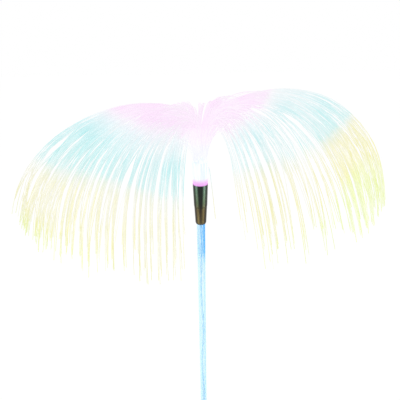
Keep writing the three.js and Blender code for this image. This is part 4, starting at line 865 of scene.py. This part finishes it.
def tufts(dice):
    """Strands from the bundle's middle that stand up in locks, leaning out to the sides at their tips."""
    rows = []
    for tip, top in TUFT_TIPS:
        behind = dice.uniform(-5, 8)
        for _ in range(TUFT_STRANDS if abs(tip) > THIN_TUFTS_WITHIN else THIN_TUFT_STRANDS):
            rows.append((
                tip + dice.normal(0, 0.8), behind + dice.normal(0, 1.2), top * dice.uniform(0.95, 1),
                dice.uniform(0, TUFT_ROOT_REACH), dice.uniform(0, 2 * math.pi),
            ))
    across, back, top, start, angle = np.array(rows).T[:, :, None]
    share = np.linspace(0, 1, TUFT_STEPS)
    x, y = start * np.cos(angle), start * np.sin(angle)
    return np.stack([
        bezier([x, x * 0.6 + across * 0.05, across * 0.42, across], share),
        bezier([y, y, y * 0.5 + back * 0.4, back], share),
        RIM + bezier([2, top * 0.6, top * 1.02, top], share),
    ], -1)


# Single strands outside the mass, as points (x, y, height above the rim).
STRAY_ROUTES = (
    ((8.2, 0, 4), (8.7, -1, 24), (10.6, -2, 12), (13.4, -3, -12), (16.6, -3.5, -42)),
    ((2, 0, 20), (6, 4, 62), (20, 6, 88), (34, 8, 90), (52, 8, 76)),
    ((3, 1, 20), (9, 6, 66), (24, 9, 86), (44, 10, 93), (66, 12, 90)),
    ((1, -2, 20), (4, -4, 58), (14, -8, 82), (27, -9, 86), (40, -10, 76)),
    ((-2, -1, 20), (-8, 2, 58), (-24, 4, 80), (-42, 6, 84), (-60, 8, 78)),
)
STRAY_STEPS = 33
STRAY_SMOOTHINGS = 24
STRAY_SIDES = 4


def strays():
    """The single strands' paths, by smooth curves near their points."""
    corners = np.array(STRAY_ROUTES, float) + np.array([0, 0, RIM])
    knots = np.linspace(0, 1, corners.shape[1])
    fine = np.linspace(0, 1, STRAY_STEPS)
    paths = [np.stack([np.interp(fine, knots, axis) for axis in route.T], -1) for route in corners]
    return smoothed(np.array(paths), STRAY_SMOOTHINGS)


def make_fibres():
    dice = np.random.default_rng(11)
    fans = {}
    for hand in ("left", "right"):
        path, behind = fountain(hand, make_clumps(hand, dice), dice)
        fans[f"fan_{hand}_back"], fans[f"fan_{hand}_front"] = path[behind], path[~behind]
    fans["tufts"] = tufts(dice)
    fans["strays"] = strays()
    for name, path in fans.items():
        sides = STRAY_SIDES if name == "strays" else STRAND_SIDES
        along = colour_places(path)
        tint = dice.random((len(path), 1)) + paleness(path, along)
        numbers = {"along": np.repeat(along, sides), "tint": np.repeat(tint, sides)}
        replaced = (name.replace("fan", "fibres"),) if name.startswith("fan") else ()
        shape = tubes(path, STRAND_RADIUS, sides)
        add("fibre_" + name, shape, "stem", "glow_fibre", replaced, numbers=numbers, weighted=False)


def make_bundle():
    """The bonded bundle inside the strands, a little thinner than they are, with a domed top."""
    foot, inset = -19.4, 0.15
    dome = ((6.6, 27.5), (3.2, 31), (0, 33))
    levels = [foot] + [up for up, _ in BUNDLE_RADII[1:]]
    profile = [(0, RIM + foot)]
    profile += [(float(looked_up(up, BUNDLE_RADII)) - inset, RIM + up) for up in levels]
    profile += [(radius, RIM + up) for radius, up in dome]
    shape = turned(rounded(profile, 1.2), 96)
    add("fibre_bundle", shape, "stem", "glow_fibre", weighted=False, paint=bundle_paint())


make_fibres()
make_bundle()


# Lamp head, tube and wires

HEAD_SIDES = 128
TUBE_SIDES = 96
TUBE_WALL = 1
WIRE_RADIUS = 0.5
WIRE_SIDES = 8
WIRE_STEPS = 241
WIRE_SPACING = 1.7
WIRE_TWISTS = 8
WIRE_WANDER = 1.3
WIRE_WANDER_LENGTH = 150
# The wires' bend from the tube into the grommet, and its points as (y, height above the exit).
WIRE_TURN = 5
WIRE_BEND = ((-0.3, 3.2), (-1.6, 1), (-4.2, 0), (-7.4, 0), (-11, 0))


def make_ferrule():
    """The fibre cup, and the lamp holder that plugs into it and grips the tube."""
    cup = [(6.7, CUP_FOOT), (7.5, CUP_FOOT), (8.35, RIM), (7.55, RIM)]
    add("ferrule_cup", ring_of(cup, 0.28, HEAD_SIDES), "stem", "dark_ferrule", ("fibre_cup",))
    foot, foot_edge, spigot_top, shelf_under = 513.9, 515.5, 542.7, TUBE_TOP + GAP
    grip, wire_hole, spigot = TUBE_RADIUS + GAP, 2.2, 6.4
    holder = [
        (grip, foot), (5.8, foot), (6.3, foot_edge), (7.25, HOLDER_TOP), (spigot, HOLDER_TOP),
        (spigot, CUP_FOOT), (6.6, spigot_top), (grip, spigot_top), (grip, SHELF), (wire_hole, SHELF),
        (wire_hole, shelf_under), (grip, shelf_under),
    ]
    add("ferrule_holder", ring_of(holder, 0.35, HEAD_SIDES), "stem", "dark_ferrule", ("lamp_holder",))


def make_tube():
    bore = TUBE_RADIUS - TUBE_WALL
    tube = [(bore, TUBE_FOOT), (TUBE_RADIUS, TUBE_FOOT), (TUBE_RADIUS, TUBE_TOP), (bore, TUBE_TOP)]
    add("stem_tube_clear", ring_of(tube, 0.2, TUBE_SIDES), "stem", "clear_tube", ("stem_tube",))


def make_wires():
    """Two wires from the shelf, loosely twisted down the tube and out at the clamp."""
    length = SHELF - WIRE_EXIT - WIRE_TURN
    share = np.linspace(0, 1, WIRE_STEPS)
    twist = 2 * math.pi * WIRE_TWISTS * share
    wander = np.sin(2 * math.pi * length * share / WIRE_WANDER_LENGTH)
    wander = WIRE_WANDER * np.sin(math.pi * share) * wander
    for i, hand in enumerate((-1, 1)):
        offset = hand * WIRE_SPACING / 2
        down = np.stack([
            offset * np.cos(twist) + wander, offset * np.sin(twist), SHELF - length * share,
        ], -1)
        out = np.array([(offset, y, WIRE_EXIT + up) for y, up in WIRE_BEND])
        shape = tubes(np.concatenate([down, out])[None], WIRE_RADIUS, WIRE_SIDES)
        add(f"stem_wire_{i + 1}", shape, "stem", "wire_skin", (f"led_wire_{i + 1}",), weighted=False)


make_ferrule()
make_tube()
make_wires()


# Foot of the light, clamp and solar box. The box is modelled upright about its tilt axis, with its
# face to -Y, and then leans back.

panel_place = moved(0, -ARM_REACH, ARM_LEVEL) @ turning(-PANEL_TILT)
# A turned shape's axis from +Z to +Y.
facing_back = turning(-90)

CLAMP_RADIUS = 9.8
EAR_STANDOFF = 13
SHELL_DEPTH = 18
SHELL_WALL = 2.6
BEZEL_DEPTH = 4
BEZEL_LIP = 1.2
WINDOW_THICKNESS = 1.4
# The button and the wires' grommet are this far to either side of the box's middle, and this low.
BUTTON_OUT = 16
BOARD_LEVEL = -19

BEVELS = {
    "panel_shell": 0.3, "panel_bezel": 0.25, "battery_cover": 0.2, "arm_bracket": 0.35,
    "clamp_cap": 0.35, "tilt_knob": 0.4, "tilt_bolt": 0.2, "panel_window": 0.15,
}
SPIKE_BEVEL = 0.3

BOX_SCREW = {"radius": 1.3, "length": 18.2, "head": 2.4, "height": 1.8}
BOX_SCREW_OUT = 33
BOX_SCREW_TIP = -33.3
CLAMP_SCREW = {"radius": 1.5, "length": 9.5, "head": 2.9, "height": 2}
CLAMP_SCREW_PLACE = (12.95, -4.2, 107)
SCREW_SIDES = 36
THREAD_STEP = 0.35
THREAD_DEPTH = 0.2


def cross_cutter(crown, head, height, place):
    """A plus-shaped cutter for the recess in a screw's head, narrower at its bottom."""
    corners = []
    floor, above = crown - height * 0.62, crown + 0.4
    for up, wide, thick in ((floor, head * 0.3, 0.2), (above, head * 0.62, 0.34)):
        arm = ((wide, -thick), (wide, thick), (thick, thick))
        for cos, sin in ((1, 0), (0, 1), (-1, 0), (0, -1)):
            corners += [(x * cos - y * sin, x * sin + y * cos, up) for x, y in arm]
    ring = len(corners) // 2
    walls = [tuple(range(ring - 1, -1, -1)), tuple(range(ring, ring * 2))]
    walls += [(i, (i + 1) % ring, (i + 1) % ring + ring, i + ring) for i in range(ring)]
    at = [tuple(place @ (Vector(corner) * MM)) for corner in corners]
    bare = bpy.data.meshes.new("cutter")
    bare.from_pydata(at, [], walls)
    return linked("cutter", bare)


def screw(name, node, place, body, radius, length, head, height):
    """A pan-head screw with a cross recess. Its tip is at 0 and its head is up."""
    threads = np.arange(1.2, length - 1.0, THREAD_STEP)
    profile = [(0, 0), (radius - 0.4, 0), (radius - 0.16, 0.8)]
    profile += [(radius - (0.0 if i % 2 else THREAD_DEPTH), float(up)) for i, up in enumerate(threads)]
    profile += [(radius, length - 0.5), (radius, length)]
    crown = length + height
    pan = [(radius, length), (head, length), (head, crown - height / 3), (head * 0.72, crown), (0, crown)]
    profile += rounded(pan, 0.3)[1:]
    made = add(name, turned(profile, SCREW_SIDES), body, "steel", (node,), place)
    without(made, cross_cutter(crown, head, height, place))


def make_casings():
    """The moulded and turned solids whose own shapes only need softer edges."""
    for node, bevel in BEVELS.items():
        dressed(node, bevel)
    dressed("ground_spike", SPIKE_BEVEL, soiled_paint())


def make_screws():
    for i, (x, z) in enumerate(((-1, -1), (-1, 1), (1, -1), (1, 1))):
        at = panel_place @ moved(x * BOX_SCREW_OUT, BOX_SCREW_TIP, z * BOX_SCREW_OUT) @ facing_back
        screw(f"box_screw_{i + 1}", f"case_screw_{i + 1}", at, "panel", **BOX_SCREW)
    out, tip, level = CLAMP_SCREW_PLACE
    for i, hand in enumerate((-1, 1)):
        at = moved(hand * out, tip, level) @ facing_back
        screw(f"clamp_pin_{i + 1}", f"clamp_screw_{i + 1}", at, "stem", **CLAMP_SCREW)


def make_bush():
    """The rubber bush in the spike's socket, with shallow grooves round it and a lip on top."""
    bore, outside, lip = TUBE_RADIUS + GAP, 7.1, 9.3
    lip_foot, lip_edge, lip_top = 37.8, 40, 40.8
    first_groove, groove_pitch, grooves, groove_depth = 30, 3.6, 6, 0.2
    profile = [(bore, TUBE_FOOT), (outside, TUBE_FOOT)]
    for i in reversed(range(grooves)):
        up = first_groove - i * groove_pitch
        profile += [(outside, up - 1), (outside - groove_depth, up), (outside, up + 1)]
    profile += [(outside, lip_foot), (lip, lip_foot), (lip, lip_edge), (lip - 0.8, lip_top), (bore, lip_top)]
    add("bush_rubber", ring_of(profile, 0.4), "bush", "rubber", ("socket_bush",))


GROMMET_BORE = 1.7
GROMMET_RADIUS = 2.6
GROMMET_LIP_RADIUS = 3.6
GROMMET_LIP_THICKNESS = 1.2


def grommet(name, node, wall, place, body):
    """A grommet about Z: its lip is above zero and its sleeve goes down through a wall."""
    profile = [
        (GROMMET_BORE, -wall), (GROMMET_RADIUS, -wall), (GROMMET_RADIUS, 0), (GROMMET_LIP_RADIUS, 0),
        (GROMMET_LIP_RADIUS - 0.4, GROMMET_LIP_THICKNESS), (GROMMET_BORE, GROMMET_LIP_THICKNESS),
    ]
    add(name, ring_of(profile, 0.35, 48), body, "rubber", (node,), place)


def make_grommets():
    """One in the clamp's round front, with its lip clear of it, and one in the box's back."""
    clamp_wall = math.sqrt(CLAMP_RADIUS**2 - GROMMET_LIP_RADIUS**2) - TUBE_RADIUS
    front = moved(0, -(CLAMP_RADIUS + GAP), WIRE_EXIT) @ turning(90)
    grommet("wire_grommet_stem", "stem_grommet", clamp_wall, front, "stem")
    back = panel_place @ moved(-BUTTON_OUT, -EAR_STANDOFF + GAP, BOARD_LEVEL) @ facing_back
    grommet("wire_grommet_box", "panel_grommet", SHELL_WALL + GAP, back, "panel")


def make_button():
    """The rubber button: a nib towards the switch, a flange inside the shell and a dished crown."""
    nib, flange_foot, flange_top, side_top, crown = -17.6, -16.7, -15.9, -11.7, -11.0
    nib_radius, flange_radius, radius = 1.6, 5.1, 4.2
    profile = [
        (0, nib), (nib_radius, nib), (nib_radius, flange_foot), (flange_radius, flange_foot),
        (flange_radius, flange_top), (radius, flange_top), (radius, side_top),
        (3.5, -11.2), (3.3, -11.45), (2.6, -11.35), (0, crown),
    ]
    at = panel_place @ moved(BUTTON_OUT, 0, BOARD_LEVEL) @ facing_back
    add("button_cap", turned(rounded(profile, 0.25)), "button", "rubber", ("power_button",), at)


CELL_HALF = 28.8
CELL_STRIPS = 4
CELL_STRIP_GAP = 1
# From the cell's front to the backing's front and back, and to the strips' back.
BACKING_FROM, BACKING_TO = 0.25, 0.65
STRIP_TO = 0.3
# The ribbons' middles, as shares of a strip's width, and half a ribbon's width.
RIBBONS = (0.28, 0.72)
RIBBON_HALF = 0.6
SLAB_EDGE = 0.08


def slab(shape, x, y, z):
    """Adds a block with a chamfered face to -Y to the shape's points and faces."""
    points, faces = shape
    first = len(points)
    for back, grow in ((y[1], 0), (y[0] + SLAB_EDGE, 0), (y[0], -SLAB_EDGE)):
        for sx, sz in ((0, 0), (1, 0), (1, 1), (0, 1)):
            points.append((x[sx] + (grow if sx else -grow), back, z[sz] + (grow if sz else -grow)))
    faces += [tuple(range(first, first + 4)), tuple(range(first + 11, first + 7, -1))]
    for ring in (first, first + 4):
        for i in range(4):
            j = (i + 1) % 4
            faces.append((ring + i, ring + 4 + i, ring + 4 + j, ring + j))


def make_cell():
    """Four silicon strips on their backing, with two solder ribbons across each."""
    bezel_front = -(EAR_STANDOFF + SHELL_DEPTH + GAP + BEZEL_DEPTH)
    front = bezel_front + BEZEL_LIP + GAP + WINDOW_THICKNESS + GAP
    side = (-CELL_HALF, CELL_HALF)
    wide = (CELL_HALF * 2 - CELL_STRIP_GAP * (CELL_STRIPS + 1)) / CELL_STRIPS
    strip_end, ribbon_end = CELL_HALF - CELL_STRIP_GAP, 27.4
    strips, ribbons = ([], []), ([], [])
    slab(strips, side, (front + BACKING_FROM, front + BACKING_TO), side)
    for i in range(CELL_STRIPS):
        low = -CELL_HALF + CELL_STRIP_GAP + i * (wide + CELL_STRIP_GAP)
        slab(strips, (low, low + wide), (front, front + STRIP_TO), (-strip_end, strip_end))
        for share in RIBBONS:
            middle = low + wide * share
            across = (middle - RIBBON_HALF, middle + RIBBON_HALF)
            slab(ribbons, across, (front - 0.1, front + 0.05), (-ribbon_end, ribbon_end))
    add("cell_strips", strips, "panel", "silicon", ("solar_cell",), panel_place)
    add("cell_ribbons", ribbons, "panel", "steel", (), panel_place)


make_casings()
make_screws()
make_bush()
make_grommets()
make_button()
make_cell()

# The CAD nodes that still show take the procedural materials of their slots.
for name, node in frame["nodes"].items():
    for slot in node.material_slots:
        slot.material = paints[slot_of[name]].material


# Floor and light

FLOOR_HALF = 60.0
FLOOR_LEVEL = -0.1515
FLOOR_COLOUR = (0.93, 0.93, 0.93, 1)
# How strongly the floor glows as background, and the glow's share in its look. The rest is matt and
# keeps the object's shadow.
FLOOR_GLOW = 1.06
FLOOR_GLOW_SHARE = 0.9
WORLD_LIGHT = 0.55
LAMP_LEVEL = 0.42


def emptied(owner):
    """The node tree of a material or world, with nothing in it."""
    owner.use_nodes = True
    owner.node_tree.nodes.clear()
    return owner.node_tree


def seen_share(tree):
    """1 for rays that show the background, to the camera, in a gloss or through glass."""
    path = new_node(tree, "LightPath")
    share = path.outputs["Is Camera Ray"]
    for kind in ("Is Glossy Ray", "Is Transmission Ray"):
        plus = new_node(tree, "Math", {0: share, 1: path.outputs[kind]}, operation="ADD", use_clamp=True)
        share = plus.outputs[0]
    return share


def join_shaders(tree, kind, share, first, second):
    """Gives an output of this kind the first shader with this share of the second."""
    mix = new_node(tree, "MixShader", {0: share, 1: first.outputs[0], 2: second.outputs[0]})
    new_node(tree, kind, {0: mix.outputs[0]})


def floor_paint():
    material = bpy.data.materials.new("floor")
    tree = emptied(material)
    matt = new_node(tree, "BsdfDiffuse", {"Color": FLOOR_COLOUR})
    glow = new_node(tree, "Emission", {"Strength": FLOOR_GLOW})
    share = new_node(tree, "Math", {0: seen_share(tree), 1: FLOOR_GLOW_SHARE}, operation="MULTIPLY")
    join_shaders(tree, "OutputMaterial", share.outputs[0], matt, glow)
    return material


def make_floor():
    """A wide plain floor just under the spike's point."""
    mesh = bpy.data.meshes.new("floor")
    sides = ((-1, -1), (1, -1), (1, 1), (-1, 1))
    corners = [(x * FLOOR_HALF, y * FLOOR_HALF, FLOOR_LEVEL) for x, y in sides]
    mesh.from_pydata(corners, [], [(0, 1, 2, 3)])
    mesh.materials.append(floor_paint())
    linked("floor", mesh)


def make_world():
    """Plain soft light all round, which shows as white."""
    world = bpy.data.worlds.new("studio")
    scene.world = world
    tree = emptied(world)
    lit = new_node(tree, "Background", {"Strength": WORLD_LIGHT, "Color": WHITE})
    seen = new_node(tree, "Background", {"Strength": 1, "Color": WHITE})
    join_shaders(tree, "OutputWorld", seen_share(tree), lit, seen)


def make_lamp(name, at, aim, width, tall, power):
    data = bpy.data.lights.new(name, "AREA")
    data.shape = "RECTANGLE"
    data.size, data.size_y = width, tall
    data.energy = power
    lamp = linked(name, data)
    lamp.location = at
    lamp.rotation_euler = (Vector(aim) - Vector(at)).to_track_quat("-Z", "Y").to_euler()


make_floor()
make_world()
make_lamp("key", (-1.1, -1.3, 1.9), (0, 0, 0.4), width=1.4, tall=1.4, power=16)
make_lamp("left_strip", (-1.16, -0.59, LAMP_LEVEL), (0, 0, LAMP_LEVEL), width=0.34, tall=1.1, power=5)
make_lamp("right_strip", (1.23, -0.42, LAMP_LEVEL), (0, 0, LAMP_LEVEL), width=0.34, tall=1.1, power=6)
scene.view_settings.view_transform = "Standard"
